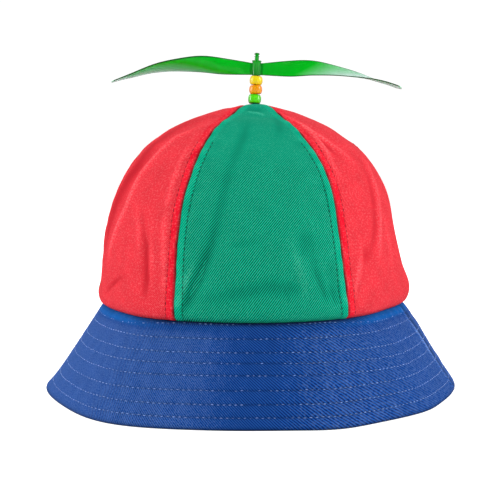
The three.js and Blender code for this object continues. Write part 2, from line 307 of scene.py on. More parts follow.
# %% Folds of the crown
# Height is over the seam, across and along are half widths, and lean turns the long side from upright
# towards +X
Fold = namedtuple("Fold", "name azimuth height across along lean out")
FOLDS = [
    Fold("left shoulder", -88, 96, 45, 26, 0, 2.4),
    Fold("right shoulder", 86, 88, 40, 20, 0, 0.9),
    Fold("right waist", 88, 42, 35, 20, 0, -3.1),
    Fold("right flare", 86, 11, 35, 9, 0, 3),
    Fold("left waist", -90, 28, 40, 18, 0, -1.4),
    Fold("left flare", -88, 5, 35, 7, 0, 1.2),
    Fold("front left crease", -16, 30, 6, 24, 22, -1.8),
    Fold("front right ridge", 19, 24, 6, 17, -31, 1.4),
    Fold("front right dent", 27, 20, 6, 13, -40, -1.6),
    Fold("left side ridge", -70, 72, 7, 34, 14, 1.2),
    Fold("right side ridge", 66, 40, 7, 26, 0, 1.4),
    Fold("right top slope", 72, 101, 34, 15, 0, -0.7),
    Fold("left side", -90, 70, 40, 60, 0, -0.5),
]
# Forward is the distance in front of the top, and along and across are half widths
Swell = namedtuple("Swell", "name forward along across up")
SWELLS = [Swell("rise", 0, 6.5, 6.5, 1.25), Swell("lump", 15.5, 6.5, 17, 1.9), Swell("dip", 32, 8, 26, -1.5)]


def fold_offset(azimuth, height, radius):
    """How far the folds push the wall out, at an azimuth and a height over the seam."""
    offset = 0
    for fold in FOLDS:
        sideways = radius * np.radians(turn_between(azimuth, fold.azimuth))
        upwards = height - fold.height
        lean = math.radians(fold.lean)
        across = sideways * math.cos(lean) - upwards * math.sin(lean)
        along = sideways * math.sin(lean) + upwards * math.cos(lean)
        offset = offset + fold.out * bell(across, fold.across) * bell(along, fold.along)
    return offset


def top_swell(radius, azimuth):
    """How far the swells push the crown's top up."""
    forward = radius * np.cos(np.radians(azimuth))
    sideways = radius * np.sin(np.radians(azimuth))
    up = 0
    for swell in SWELLS:
        up = up + swell.up * bell(forward - swell.forward, swell.along) * bell(sideways, swell.across)
    return up


print("folds and swells:", len(FOLDS) + len(SWELLS))

# %% [markdown]
# ## The crown's outer face
# The crown is a dome with full shoulders: its height follows a sine that is raised to a power below one. At
# its foot it rolls in to the seam. A point is named by its azimuth and its climb, an angle, and the length
# up the wall is measured along the plain dome at the back, because cloth is cut by length.

# %% The crown's outer face
PIECE_GAP = 0.3
SEAM_RADIUS = 92.5
SEAM_HEIGHT = 49.3
CROWN_RADIUS = 94.5
CROWN_HEIGHT = 118.8
CROWN_POWER = 2.6
TUCK_HEIGHT = 8
SEAM_FADE = 20
PEAK_HEIGHT = 1.5
PEAK_SPREAD = 17
FOLD_FREE_RADIUS = 26
CROWN_OFFSET = 1.9
CROWN_BOW = -1.3
CROWN_LEAN = 1.25
APEX_HOLE_RADIUS = 1.65
TOP_CLIMB = math.acos(APEX_HOLE_RADIUS / CROWN_RADIUS)
SEAM_LOBES = [Lobe(-38, 14, 3), Lobe(60, 18, -3.5)]
AZIMUTH_STEP = 0.3
CLIMB_STEP = 0.004
FINE_STEPS = 4000


def crown_height(climb):
    """The height over the seam at a climb."""
    return CROWN_HEIGHT * np.sin(climb) ** (2 / CROWN_POWER)


def climb_at(height):
    """The climb at a height over the seam."""
    return np.arcsin((height / CROWN_HEIGHT) ** (CROWN_POWER / 2))


def crown_point(azimuth, climb):
    """A point of the crown's outer face: climb is 0 at the seam and TOP_CLIMB at the hole in the top."""
    height = crown_height(climb)
    round_radius = CROWN_RADIUS * np.cos(climb)
    below = np.clip(1 - height / TUCK_HEIGHT, 0, 1)
    tuck = (CROWN_RADIUS - SEAM_RADIUS) * (1 - np.sqrt(1 - below**2))
    seam_shape = lobed(0, SEAM_LOBES, azimuth) * bell(height, SEAM_FADE)
    push = fold_offset(azimuth, height, round_radius) * (1 - bell(round_radius, FOLD_FREE_RADIUS))
    radius = round_radius - tuck + seam_shape + push * np.cos(climb)
    share = height / CROWN_HEIGHT
    middle = CROWN_OFFSET + CROWN_BOW * np.sin(math.pi * share) + CROWN_LEAN * share
    peak = PEAK_HEIGHT * bell(radius, PEAK_SPREAD) + top_swell(radius, azimuth)
    level = SEAM_HEIGHT + PIECE_GAP / 2 + height + push * np.sin(climb) + peak
    return at_azimuth(middle, radius, azimuth, level)


def crown_normal(azimuth, climb):
    """The outward normal, from the slopes around and up the wall. It lies level at the foot."""
    around = crown_point(azimuth + AZIMUTH_STEP, climb) - crown_point(azimuth - AZIMUTH_STEP, climb)
    lower = np.maximum(climb - CLIMB_STEP, 0)
    upwards = crown_point(azimuth, climb + CLIMB_STEP) - crown_point(azimuth, lower)
    normal = unit(np.cross(around, upwards))
    normal[..., 2] *= ramp(0, TUCK_HEIGHT, crown_height(climb))
    return unit(normal)


fine_climb = TOP_CLIMB * np.linspace(0, 1, FINE_STEPS) ** 2
fine_line = crown_point(180.0, fine_climb)
fine_length = np.concatenate([[0], np.cumsum(np.linalg.norm(np.diff(fine_line, axis=0), axis=1))])
WALL_LENGTH = fine_length[-1]
print("length of a panel up its middle, mm:", round(WALL_LENGTH, 1))

# %% [markdown]
# ## Twill weave
# Twill is woven so that each row of yarn steps one thread over, which draws slanted ribs. A shader can
# follow the cut of a piece only if each point knows its place on the flat cloth, so the meshes below carry
# that place as an attribute, in metres. The weave is a node group, because green, red and blue cloth all
# use it: it puts out the ribs, a height for the bump, the soft mottling of dyed cotton, and its flecks.

# %% Twill weave
CLOTH_PLACE = "cloth_place"
RIB_SHARPNESS = 0.8
YARNS_PER_PITCH = 3
YARN_DEPTH = 0.12
# Sizes of the noises: blobs to a metre
SLUB_SCALE = 420
DYE_SCALE = 90
FLECK_SCALE = 950


def new_group(name, inputs, outputs):
    """An empty shader node group with named float inputs and outputs."""
    group = bpy.data.node_groups.new(name, "ShaderNodeTree")
    for socket, value in inputs.items():
        made = group.interface.new_socket(socket, in_out="INPUT", socket_type="NodeSocketFloat")
        made.default_value = value
    for socket in outputs:
        group.interface.new_socket(socket, in_out="OUTPUT", socket_type="NodeSocketFloat")
    return group, group.nodes.new("NodeGroupInput").outputs, group.nodes.new("NodeGroupOutput").inputs


def centred_noise(tree, place, scale, detail):
    """Noise about 0 at a place."""
    noise = add_node(tree, "TexNoise", {"Vector": place, "Scale": scale, "Detail": detail})
    return worked_out(tree, "SUBTRACT", noise.outputs["Fac"], 0.5)


weave, weave_in, weave_out = new_group(
    "twill_weave", {"Pitch": 0.0012, "Slant": 47, "Slub": 0.3}, ["Rib", "Height", "Mottle", "Fleck"])
place = add_node(weave, "Attribute", attribute_name=CLOTH_PLACE).outputs["Vector"]
axes = add_node(weave, "SeparateXYZ", {"Vector": place})
angle = worked_out(weave, "RADIANS", weave_in["Slant"])
rise = worked_out(weave, "MULTIPLY", axes.outputs["Y"], worked_out(weave, "COSINE", angle))
run = worked_out(weave, "MULTIPLY", axes.outputs["X"], worked_out(weave, "SINE", angle))
crossing = worked_out(weave, "DIVIDE", worked_out(weave, "SUBTRACT", rise, run), weave_in["Pitch"])
slub = worked_out(weave, "MULTIPLY", centred_noise(weave, place, SLUB_SCALE, 2), weave_in["Slub"])
phase = worked_out(weave, "MULTIPLY", worked_out(weave, "ADD", crossing, slub), 2 * math.pi)
rib = worked_out(weave, "MULTIPLY_ADD", worked_out(weave, "COSINE", phase), RIB_SHARPNESS, 0.5, clamp=True)
yarn_turn = worked_out(weave, "MULTIPLY", axes.outputs["X"], 2 * math.pi * YARNS_PER_PITCH)
yarn_phase = worked_out(weave, "DIVIDE", yarn_turn, weave_in["Pitch"])
yarn = worked_out(weave, "MULTIPLY_ADD", worked_out(weave, "COSINE", yarn_phase), YARN_DEPTH, 1 - YARN_DEPTH)
feed(weave, weave_out["Rib"], rib)
feed(weave, weave_out["Height"], worked_out(weave, "MULTIPLY", rib, yarn))
feed(weave, weave_out["Mottle"], centred_noise(weave, place, DYE_SCALE, 3))
feed(weave, weave_out["Fleck"], centred_noise(weave, place, FLECK_SCALE, 1))
print("nodes in the weave:", len(weave.nodes))

# %% [markdown]
# ## Cloth
# Each cloth colours the weave in its own way. Four tones, which the meshes carry for each point, change it
# from place to place: the pressed band beside a seam; painted shade in the seams, along the stitching, at
# the top, under the crown, at the hem and beside a side seam of the brim; painted light and shade on the
# sides of folds and puckers, with a painted sheen on the brim's sides, a paler line along its ridge and
# painted shade in the middle of its front; and cloth that is ironed flat. Red cloth also gets a deeper
# painted shade in its hollows.

# %% Cloth
SEAM_BAND = "seam_band"
PAINTED_SHADE = "painted_shade"
PAINTED_LIGHT_AND_SHADE = "painted_light_and_shade"
IRONED = "ironed"
SHADE_DEPTH = 0.85
# How strongly the painted light and shade of folds change the cloth, and how much shows as a painted sheen
PAINTED_SHADING_DEPTH = 0.27
PAINTED_SHEEN_SHOW = 0.25
RIB_BUMP = 0.14
RIB_BUMP_STRENGTH = 0.8
# Colours of rib, valley, pressed band, and the pale colour of painted sheen and flecks; rib pitch in mm, and
# slant in degrees; unevenness of the ribs, dye and flecks; share of the ribs that a band keeps; shares of
# the band's colour on a band and, as painted shade, in a hollow; sheen, and its colour
Cloth = namedtuple(
    "Cloth", "rib valley band rubbed pitch slant slub mottle fleck pressed tint deepened sheen sheen_tint")
CLOTHS = {
    "green": Cloth((24, 202, 160), (0, 66, 44), (6, 212, 166), (120, 228, 198),
                   1.05, 51, 0.2, 0.2, 0.5, 0.8, 0.8, 0, 0.02, (120, 255, 220)),
    "red": Cloth((250, 64, 76), (226, 44, 56), (244, 10, 44), (255, 140, 142),
                 0.85, 50, 0.5, 0.3, 1.3, 0.35, 0.9, 0.55, 0.01, (255, 160, 160)),
    "blue": Cloth((34, 90, 174), (0, 28, 94), (0, 104, 192), (140, 172, 226),
                  1.11, -45, 0.25, 0.25, 0.45, 0.35, 0.9, 0, 0.15, (120, 165, 255)),
}


def cloth_material(colour_name):
    """Cotton twill: dark valleys between ribs, pressed seam bands, painted light and shade, and sheen."""
    cloth = CLOTHS[colour_name]
    material, tree, shader = new_material(colour_name + "_twill", {
        "Roughness": 0.9,
        "Specular IOR Level": 0.05,
        "Sheen Weight": cloth.sheen,
        "Sheen Roughness": 0.5,
        "Sheen Tint": linear(*cloth.sheen_tint),
    })
    cut = {"Pitch": cloth.pitch * MM, "Slant": cloth.slant, "Slub": cloth.slub}
    pattern = add_node(tree, "Group", cut, node_tree=weave).outputs
    band = tone_at(tree, SEAM_BAND)
    fold = tone_at(tree, PAINTED_LIGHT_AND_SHADE)
    pressed = worked_out(tree, "MULTIPLY_ADD", band, cloth.pressed - 1, 1)
    raised = worked_out(tree, "SUBTRACT", 1, tone_at(tree, IRONED))
    swing = worked_out(tree, "MULTIPLY", worked_out(tree, "SUBTRACT", 0.5, pattern["Rib"]), raised)
    depth = worked_out(tree, "MULTIPLY", worked_out(tree, "ADD", swing, 0.5), pressed)
    # Painted shade: in a hollow the band's deeper colour stands in for the shade there
    deepened = worked_out(tree, "MULTIPLY", fold, -cloth.deepened, clamp=True)
    tinted = worked_out(tree, "MULTIPLY_ADD", band, cloth.tint, deepened)
    face = mixed(tree, tinted, linear(*cloth.rib), linear(*cloth.band))
    ribbed = mixed(tree, depth, face, linear(*cloth.valley))
    flecked = worked_out(tree, "MULTIPLY", pattern["Fleck"], cloth.fleck)
    # A painted paler sheen where the painted light tone is positive, with random flecks
    rubbed = worked_out(tree, "MULTIPLY_ADD", fold, PAINTED_SHEEN_SHOW, flecked, clamp=True)
    woven = mixed(tree, rubbed, ribbed, linear(*cloth.rubbed))
    mottle = worked_out(tree, "MULTIPLY_ADD", pattern["Mottle"], cloth.mottle, 1)
    # Painted shade darkens the cloth wherever the mesh carries it
    unshaded = worked_out(tree, "MULTIPLY_ADD", tone_at(tree, PAINTED_SHADE), -SHADE_DEPTH, 1)
    shaded = worked_out(tree, "MULTIPLY", mottle, unshaded)
    # Painted light and shade: lighter on ridges, darker in valleys
    toned = worked_out(tree, "MULTIPLY", shaded, worked_out(tree, "MULTIPLY_ADD", fold, PAINTED_SHADING_DEPTH, 1))
    dyed = add_node(tree, "HueSaturation", {"Value": toned, "Color": woven})
    feed(tree, shader.inputs["Base Color"], dyed.outputs["Color"])
    kept = worked_out(tree, "MULTIPLY", pressed, raised)
    relief = worked_out(tree, "MULTIPLY", pattern["Height"], kept)
    bump = add_node(
        tree, "Bump", {"Height": relief, "Strength": RIB_BUMP_STRENGTH, "Distance": RIB_BUMP * MM})
    feed(tree, shader.inputs["Normal"], bump.outputs["Normal"])
    return material


cloth_materials = {name: cloth_material(name) for name in CLOTHS}
print("cloths:", list(cloth_materials))

# %% [markdown]
# ## A wall from two faces
# A cloth panel has an outer face, an inner face and a rim that joins them. Both faces are grids with the
# same rows and columns, so the rim is a strip of quads between their borders, and the result is a closed
# solid that can be printed or measured. Numpy works out all the points at once, which is much faster than
# moving vertices one by one.

# %% A wall from two faces
SHARP_ANGLE = 50


def new_mesh(name, points, faces):
    """A mesh from an array of points and a list of faces."""
    mesh = bpy.data.meshes.new(name)
    mesh.from_pydata(points.reshape(-1, 3).tolist(), [], faces)
    return mesh


def set_tone(mesh, tone, values):
    """Writes one number for each point of a mesh, which a material reads by its name."""
    mesh.attributes.new(tone, "FLOAT", "POINT").data.foreach_set("value", np.asarray(values, np.float32))


def points_of(mesh):
    """The points of a mesh, as an array of three columns."""
    places = np.empty(len(mesh.vertices) * 3)
    mesh.vertices.foreach_get("co", places)
    return places.reshape(-1, 3)


def finished_object(name, mesh, material, body):
    """An object from a mesh in millimetres: scaled to metres, smooth, riding on its body."""
    mesh.transform(Matrix.Scale(MM, 4))
    mesh.polygons.foreach_set("use_smooth", np.ones(len(mesh.polygons), bool))
    mesh.set_sharp_from_angle(angle=math.radians(SHARP_ANGLE))
    mesh.materials.append(material)
    piece = bpy.data.objects.new(name, mesh)
    scene.collection.objects.link(piece)
    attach(piece, body)
    return piece


def grid_faces(rows, columns):
    """The quads of a grid of points, facing out where rows go up and columns go towards +X at the front."""
    corner = np.arange(rows * columns).reshape(rows, columns)
    quads = [corner[:-1, :-1], corner[:-1, 1:], corner[1:, 1:], corner[1:, :-1]]
    return np.stack(quads, -1).reshape(-1, 4)


def wall_mesh(name, outer, inner, cloth_place, tones):
    """A closed wall between two grids, with each point's place on the flat cloth and its tones, by name."""
    rows, columns = outer.shape[:2]
    layer = rows * columns
    faces = grid_faces(rows, columns)
    corner = np.arange(layer).reshape(rows, columns)
    border = np.concatenate([corner[0, :-1], corner[:-1, -1], corner[-1, :0:-1], corner[:0:-1, 0]])
    after = np.roll(border, -1)
    rim = np.stack([after, border, border + layer, after + layer], -1)
    all_faces = np.concatenate([faces, faces[:, ::-1] + layer, rim]).tolist()
    mesh = new_mesh(name, np.stack([outer, inner]), all_faces)
    flat = np.zeros((2, layer, 3), np.float32)
    flat[:, :, :2] = cloth_place.reshape(-1, 2) * MM
    mesh.attributes.new(CLOTH_PLACE, "FLOAT_VECTOR", "POINT").data.foreach_set("vector", flat.ravel())
    for tone, share in tones.items():
        set_tone(mesh, tone, np.concatenate([share.ravel(), np.zeros(layer)]))
    return mesh


print("quads in a 3 by 3 grid:", len(grid_faces(3, 3)))

# %% [markdown]
# ## Creases
# Finer creases wander, so each is a path of stops on the crown. A point's push depends on its distance from
# the nearest place on the path, and on how deep the crease is there. The same number also paints light and
# shade on the cloth: a valley gets painted shade, because it gets less of the soft light than the renderer's
# few bounces would show, and a ridge gets a painted paler sheen.

# %% Creases
Crease = namedtuple("Crease", "name width stops")
# Each stop: azimuth, height over the seam, and push out, in millimetres
CREASES = [
    Crease("long front crease", 2.4, [(-5, 112, 0), (-6, 100, -0.7), (-10, 82, -0.6), (-12, 60, -0.6),
                                      (-14, 42, -0.9), (-18, 25, -1.6), (-22, 11, -1), (-24, 5, 0)]),
    Crease("roll left of it", 1.8, [(-19, 36, 0), (-22.5, 22, 0.7), (-24.5, 10, 0.4), (-25.5, 4, 0)]),
    Crease("front right hollow", 4, [(18, 50, 0), (18, 42, -0.6), (18.5, 34, 0)]),
    Crease("front right roll", 2.6, [(13, 50, 0), (15, 32, 0.4), (16.5, 20, 0.3), (18, 10, 0)]),
    Crease("front right pinch", 1.8, [(20, 36, 0), (21.5, 27, -1), (24.5, 15, -1.2), (25.5, 10, 0)]),
    Crease("small pinch", 1.5, [(26.5, 21, 0), (27.5, 15, -1), (29, 7, 0)]),
    Crease("front foot hollow", 3.2, [(-18, 11, 0), (-8, 15, -0.5), (6, 19.5, -0.7), (12, 18, -0.7),
                                      (17, 19, 0)]),
    Crease("left edge roll", 2.4, [(-66, 28, 0), (-63, 38, 0.9), (-57, 60, 1), (-57, 80, 1), (-51, 99, 0.7),
                                   (-30, 111, 0)]),
    Crease("left edge hollow", 8, [(-78, 28, 0), (-73, 46, -0.8), (-69, 65, -1), (-66, 82, -1.1),
                                   (-68, 95, -0.9), (-62, 108, -0.5), (-50, 114, 0)]),
    Crease("left inner roll", 2, [(-50, 62, 0), (-45, 49, 0.6), (-42, 28, 0)]),
    Crease("left inner crease", 1.7, [(-46, 60, 0), (-40, 40, -0.9), (-38, 22, -1.2), (-38, 9, 0)]),
    Crease("left third roll", 1.8, [(-39, 56, 0), (-36.5, 34, 0.6), (-35.5, 14, 0)]),
    Crease("left seam roll", 1.8, [(-36, 104, 0), (-34, 80, 0.8), (-33, 60, 0.5), (-31, 30, 0.7),
                                   (-30, 5, 0)]),
    Crease("left low fold", 1.6, [(-48, 23, 0), (-58, 17, -0.9), (-68, 8, 0)]),
    Crease("right seam roll", 1.8, [(30, 117, 0), (38, 108, 1), (38.5, 92, 1), (39, 72, 0)]),
    Crease("right top roll", 1.7, [(33, 110, 0), (42, 101, 0.9), (50, 92, 0.8), (55, 82, 0)]),
    Crease("right top valley", 1.5, [(38, 104, 0), (42, 95, -0.7), (46, 86, 0)]),
    Crease("right hollow", 2.6, [(64, 94, 0), (58, 72, -0.5), (50, 46, -0.6), (43, 28, 0)]),
    Crease("right roll", 2, [(71, 92, 0), (63, 74, 0.8), (53, 45, 0.9), (50, 26, 0)]),
    Crease("right edge roll", 2, [(60, 60, 0), (60, 40, 0.5), (60, 14, 0)]),
    Crease("front top streak", 2.2, [(22, 114, 0), (18, 108, -0.7), (12, 97, 0)]),
    Crease("crown top arc", 1.1, [(-12, 115.3, 0), (-7, 115.3, 0.8), (1, 115.1, 0.9), (9, 114.3, 0.8),
                                  (13, 113.9, 0)]),
    Crease("crown top shade", 2, [(-15, 116.2, 0), (-8, 116.2, -0.7), (4, 116, -0.7), (12, 115.6, 0)]),
    Crease("level pinch", 1.6, [(-8, 41, 0), (-3, 42.5, -0.5), (5, 44, 0)]),
    Crease("right blotch", 3, [(45, 40, 0), (43, 34, -0.6), (42, 28, 0)]),
    Crease("right inner roll", 1.9, [(42, 46, 0), (40, 30, 0.7), (37, 17, 0.7), (35, 8, 0)]),
]
STEPS_BETWEEN_STOPS = 12


def crease_offset(points):
    """How far the creases push points of the crown out."""
    offset = np.zeros(points.shape[:-1])
    for crease in CREASES:
        stops = np.array(crease.stops, float)
        places = np.arange(len(stops))
        steps = np.linspace(0, places[-1], places[-1] * STEPS_BETWEEN_STOPS + 1)
        azimuth, height, out = [np.interp(steps, places, column) for column in stops.T]
        line = crown_point(azimuth, climb_at(height))
        gaps = np.linalg.norm(points[..., None, :] - line, axis=-1)
        offset += out[gaps.argmin(-1)] * bell(gaps.min(-1), crease.width)
    return offset


print("creases:", len(CREASES))

# %% [markdown]
# ## Panels and seams
# The crown is sewn from six curved triangles, green and red in turn. Their seams run straight up to the
# top, but the two beside the front panel were sewn a little off their lines, so a short table moves them
# aside.

# %% Panels and seams
PANELS = [
    ("crown_panel_front", "green"),
    ("crown_panel_front_right", "red"),
    ("crown_panel_rear_right", "green"),
    ("crown_panel_rear", "red"),
    ("crown_panel_rear_left", "green"),
    ("crown_panel_front_left", "red"),
]
PANEL_TURN = 360 / len(PANELS)
FRONT_PANEL_AZIMUTH = 2.8
SEAM_SLIT = 0.08
# Seam 0 is left of the front panel, and seam 1 right of it
Drift = namedtuple("Drift", "seam height spread aside")
DRIFTS = [Drift(0, 35, 60, 1.2), Drift(1, 0, 20, 1.8), Drift(1, 42, 22, -1.4), Drift(1, 104, 16, -2.8)]
DRIFT_CLEAR = 18
# Where a panel's half width is less than this, all that lies along its seams is narrowed
NARROW_HALF = 9


def seam_azimuth(index, climb):
    """The azimuth of a seam on its way up."""
    radius = CROWN_RADIUS * np.cos(climb)
    height = crown_height(climb)
    aside = 0 * height
    for drift in DRIFTS:
        if drift.seam == index:
            aside = aside + drift.aside * bell(height - drift.height, drift.spread)
    straight = FRONT_PANEL_AZIMUTH + (index - 0.5) * PANEL_TURN
    return straight + np.degrees(aside * (1 - bell(radius, DRIFT_CLEAR)) / radius)


def panel_edges(index, climb):
    """A panel's left seam, its half width in mm, and how far its bands are narrowed near the top."""
    left = seam_azimuth(index, climb)
    turn = np.radians(turn_between(seam_azimuth((index + 1) % len(PANELS), climb), left))
    half = turn * CROWN_RADIUS * np.cos(climb) / 2 - SEAM_SLIT / 2
    return left, half, np.minimum(half / NARROW_HALF, 1)


print("front panel's width at its foot, mm:", round(2 * float(panel_edges(0, 0.0)[1]), 1))

# %% [markdown]
# ## Relief of a panel
# A panel's edges are turned in at the seams, so two panels meet in a thin groove, and the turned-in cloth
# lies double under a band that the topstitching holds down. A cloth simulation would hang and swell such a
# panel, but it wouldn't crease where this cap does, so the points are moved by formula, as in sculpting.

# %% Relief of a panel
CROWN_WALL = 1.2
PANEL_SEED = 40
# Relief at a seam: a groove, a doubled band, and the dip that the topstitching pulls
SEAM_GROOVE = 0.5
GROOVE_SPREAD = 0.4
GROOVE_INSIDE = 0.5
STITCH_INSET = 4.7
BAND_START = 0.2
BAND_FULL = 1.2
BAND_END_START = STITCH_INSET - 0.5
BAND_END = STITCH_INSET + 0.7
BAND_RISE = 0.45
STITCH_DIP = 0.4
STITCH_SPREAD = 0.55
# Over these heights the doubled bands and their stitching run out, where the seams are gathered
SEWN_LOW = 90
SEWN_HIGH = 102
# Above them the cloth is still pressed flat beside a seam, and keeps this share of a band's colour
TOP_BAND = 0.8
# The cloth between the seams is uneven, and puckered near them: size, then shortest, longest and count of
# waves
UNEVEN = 0.22
UNEVEN_WAVES = (18, 46, 7)
PUCKER = 0.22
PUCKER_WAVES = (6, 15, 6)
PUCKER_REACH = 7
# At the foot the wall sinks in behind the brim's edge, and rolls out above it
FOOT_SINK = 1.1
FOOT_SINK_HEIGHT = 2.2
FOOT_ROLL = 0.45
FOOT_ROLL_HEIGHT = 5
# A seam's dark line is a painted shadow that comes and goes, and the seam left of the front panel gapes, so
# its painted shadow is wider
SHADE_SPREAD = 0.38
GAPING_SEAM = 0
GAPING_SPREAD = 0.62
SEAM_LINE_SWING = 0.25
SEAM_LINE_WAVES = (4, 20, 6)
# Painted shade along the stitching, and around the hole at the top, under the beads
STITCH_SHADE = 0.2
APEX_SHADE = 0.9
APEX_SHADE_RADIUS = 5.5
# The ribs of the weave fade over these heights, towards the top
TOP_IRONED = 0.8
IRONED_LOW = 78
IRONED_HIGH = 96


def panel_point(index, climb, from_left):
    """Points of a panel's outer face and the wall's inner one, the normal, and the tones by name."""
    left, half, narrow = panel_edges(index, climb)
    azimuth = left + np.degrees((from_left + SEAM_SLIT / 2) / (CROWN_RADIUS * np.cos(climb)))
    distance = np.minimum(from_left, 2 * half - from_left)
    inset = distance / narrow
    length = np.interp(climb, fine_climb, fine_length)
    height = crown_height(climb)
    rng = np.random.default_rng(PANEL_SEED + index)
    uneven = UNEVEN * seeded_waves(rng, *UNEVEN_WAVES)(length, from_left)
    pucker = PUCKER * seeded_waves(rng, *PUCKER_WAVES)(length, distance) * np.exp(-distance / PUCKER_REACH)
    seam_swing = SEAM_LINE_SWING * seeded_waves(rng, *SEAM_LINE_WAVES)(length, 0)

    sewn = 1 - ramp(SEWN_LOW, SEWN_HIGH, height)
    pressed = ramp(BAND_START, BAND_FULL, inset) * (1 - ramp(BAND_END_START, BAND_END, inset))
    dip = STITCH_DIP * bell(inset - STITCH_INSET, STITCH_SPREAD) * sewn
    groove = SEAM_GROOVE * bell(distance, GROOVE_SPREAD)
    sink = FOOT_SINK * (1 - ramp(0, FOOT_SINK_HEIGHT, height))
    foot_roll = FOOT_ROLL * bell(height - FOOT_ROLL_HEIGHT, FOOT_ROLL_HEIGHT)
    normal = crown_normal(azimuth, climb)
    face = crown_point(azimuth, climb)
    crease = crease_offset(face)
    relief = (BAND_RISE * pressed * sewn - dip + uneven + pucker) * narrow - groove + crease + foot_roll
    outer = face + normal * (relief - sink)[..., None]
    inner = face - normal * (CROWN_WALL + sink + groove * GROOVE_INSIDE)[..., None]

    nearest_seam = np.where(from_left < half, index, (index + 1) % len(PANELS))
    seam_spread = np.where(nearest_seam == GAPING_SEAM, GAPING_SPREAD, SHADE_SPREAD)
    seam_line = bell(distance, seam_spread) * (1 - SEAM_LINE_SWING + seam_swing)
    stitch_line = STITCH_SHADE * sewn * bell(inset - STITCH_INSET, SHADE_SPREAD)
    apex = APEX_SHADE * bell(CROWN_RADIUS * np.cos(climb), APEX_SHADE_RADIUS)
    tones = {
        SEAM_BAND: pressed * np.maximum(sewn, TOP_BAND),
        PAINTED_SHADE: np.maximum(np.maximum(seam_line, stitch_line), apex),
        PAINTED_LIGHT_AND_SHADE: crease + pucker * narrow,
        IRONED: TOP_IRONED * ramp(IRONED_LOW, IRONED_HIGH, height),
    }
    return outer, inner, normal, tones


print("a band ends this far from its seam, mm:", BAND_END)

# %% [markdown]
# ## Crown panels
# Each panel becomes one closed wall. The columns of its grid lie close together at the seams, where the
# relief is, and further apart in the middle, and its rows lie closer at the foot, which rolls in to the
# brim.

# %% Crown panels
# Insets of the columns beside a seam, in stretches from, to, count
EDGE_STRETCHES = [(0, 1.2, 6), (1.7, 3.5, 4), (4, 5.5, 6), (6.2, 9, 4)]
EDGE_STEPS = np.concatenate([np.linspace(*stretch) for stretch in EDGE_STRETCHES])
MIDDLE_COLUMNS = 44
FOOT_LENGTH = 10
FOOT_ROW_STEP = 0.8
WALL_ROWS = 106
foot_lengths = np.arange(0, FOOT_LENGTH, FOOT_ROW_STEP)
row_lengths = np.concatenate([foot_lengths, np.linspace(FOOT_LENGTH, WALL_LENGTH, WALL_ROWS)])
row_climbs = np.interp(row_lengths, fine_length, fine_climb)[:, None]

for index, (name, colour) in enumerate(PANELS):
    _, half, narrow = panel_edges(index, row_climbs)
    insets = EDGE_STEPS * narrow
    last = insets[:, -1:]
    between = last + 2 * (half - last) * np.linspace(0, 1, MIDDLE_COLUMNS + 2)[1:-1]
    from_left = np.concatenate([insets, between, 2 * half - insets[:, ::-1]], axis=1)
    climb = np.broadcast_to(row_climbs, from_left.shape)
    outer, inner, _, tones = panel_point(index, climb, from_left)
    cloth_place = np.stack([from_left - half, np.broadcast_to(row_lengths[:, None], from_left.shape)], -1)
    mesh = wall_mesh(name + "_cloth", outer, inner, cloth_place, tones)
    piece = finished_object(name + "_cloth", mesh, cloth_materials[colour], "cap")
    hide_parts(name)

# %% [markdown]
# ## Stitches
# A stitch is a short length of thread that rises out of one needle hole and dips into the next. Hundreds of
# them are made as one mesh from arrays: a bent tube of five rings is worked out once, and placed between
# each pair of holes.

# %% Stitches
# Along is the share of the way between the holes, lift and width count in thread radii, and hole is how
# much of the painted shade of the needle hole shows
Ring = namedtuple("Ring", "along lift width hole")
STITCH_RINGS = [
    Ring(0, -0.9, 0.8, 1),
    Ring(0.2, 0.3, 1, 0.6),
    Ring(0.5, 0.75, 1, 0),
    Ring(0.8, 0.3, 1, 0.6),
    Ring(1, -0.9, 0.8, 1),
]
THREAD_SIDES = 6
NEEDLE_HOLE_SHADE = "needle_hole_shade"


def tube_faces(corner):
    """The quads around a tube, from the numbers of its points: a row for each of its rings."""
    beside = np.roll(corner, -1, axis=1)
    return np.stack([corner[:-1], corner[1:], beside[1:], beside[:-1]], -1).reshape(-1, 4)


def stitch_mesh(name, starts, ends, normals, hole_shade_shares, thread_radius):
    """One mesh of many stitches, from their needle holes, the normals there, and the holes' painted shade.
    """
    reach = ends - starts
    across = unit(np.cross(normals, reach))
    turns = np.arange(THREAD_SIDES)[:, None] * 2 * math.pi / THREAD_SIDES
    swing = np.cos(turns) * across[:, None] + np.sin(turns) * normals[:, None]
    rings = []
    for ring in STITCH_RINGS:
        middle = starts + reach * ring.along + normals * ring.lift * thread_radius
        rings.append(middle[:, None] + swing * ring.width * thread_radius)
    points = np.stack(rings, 1)
    count, ring_count = points.shape[:2]
    corner = np.arange(ring_count * THREAD_SIDES).reshape(ring_count, THREAD_SIDES)
    sides = tube_faces(corner)
    faces = []
    for first in np.arange(count) * corner.size:
        faces += (sides + first).tolist()
        faces += [(corner[0] + first).tolist(), (corner[-1, ::-1] + first).tolist()]
    mesh = new_mesh(name, points, faces)
    hole = np.outer(hole_shade_shares, [ring.hole for ring in STITCH_RINGS])
    set_tone(mesh, NEEDLE_HOLE_SHADE, np.repeat(hole.ravel(), THREAD_SIDES))
    return mesh


print("faces around a stitch:", (len(STITCH_RINGS) - 1) * THREAD_SIDES)

# %% [markdown]
# ## Thread
# The thread is a darker tone of its cloth on the crown, and a paler one on the brim. It gets painted shade
# where it goes down into its needle holes. The geometry node gives each loose part of a mesh its own random
# number, which makes each stitch a little lighter or darker than the next.

# %% Thread
THREAD_SHADE = 0.9
# The colour on top of a stitch, and the painted shade in its needle holes
Thread = namedtuple("Thread", "colour hole")
THREADS = {
    "green": Thread((0, 100, 74), (0, 54, 40)),
    "red": Thread((176, 18, 38), (112, 6, 22)),
    "blue": Thread((140, 172, 234), (2, 16, 64)),
}


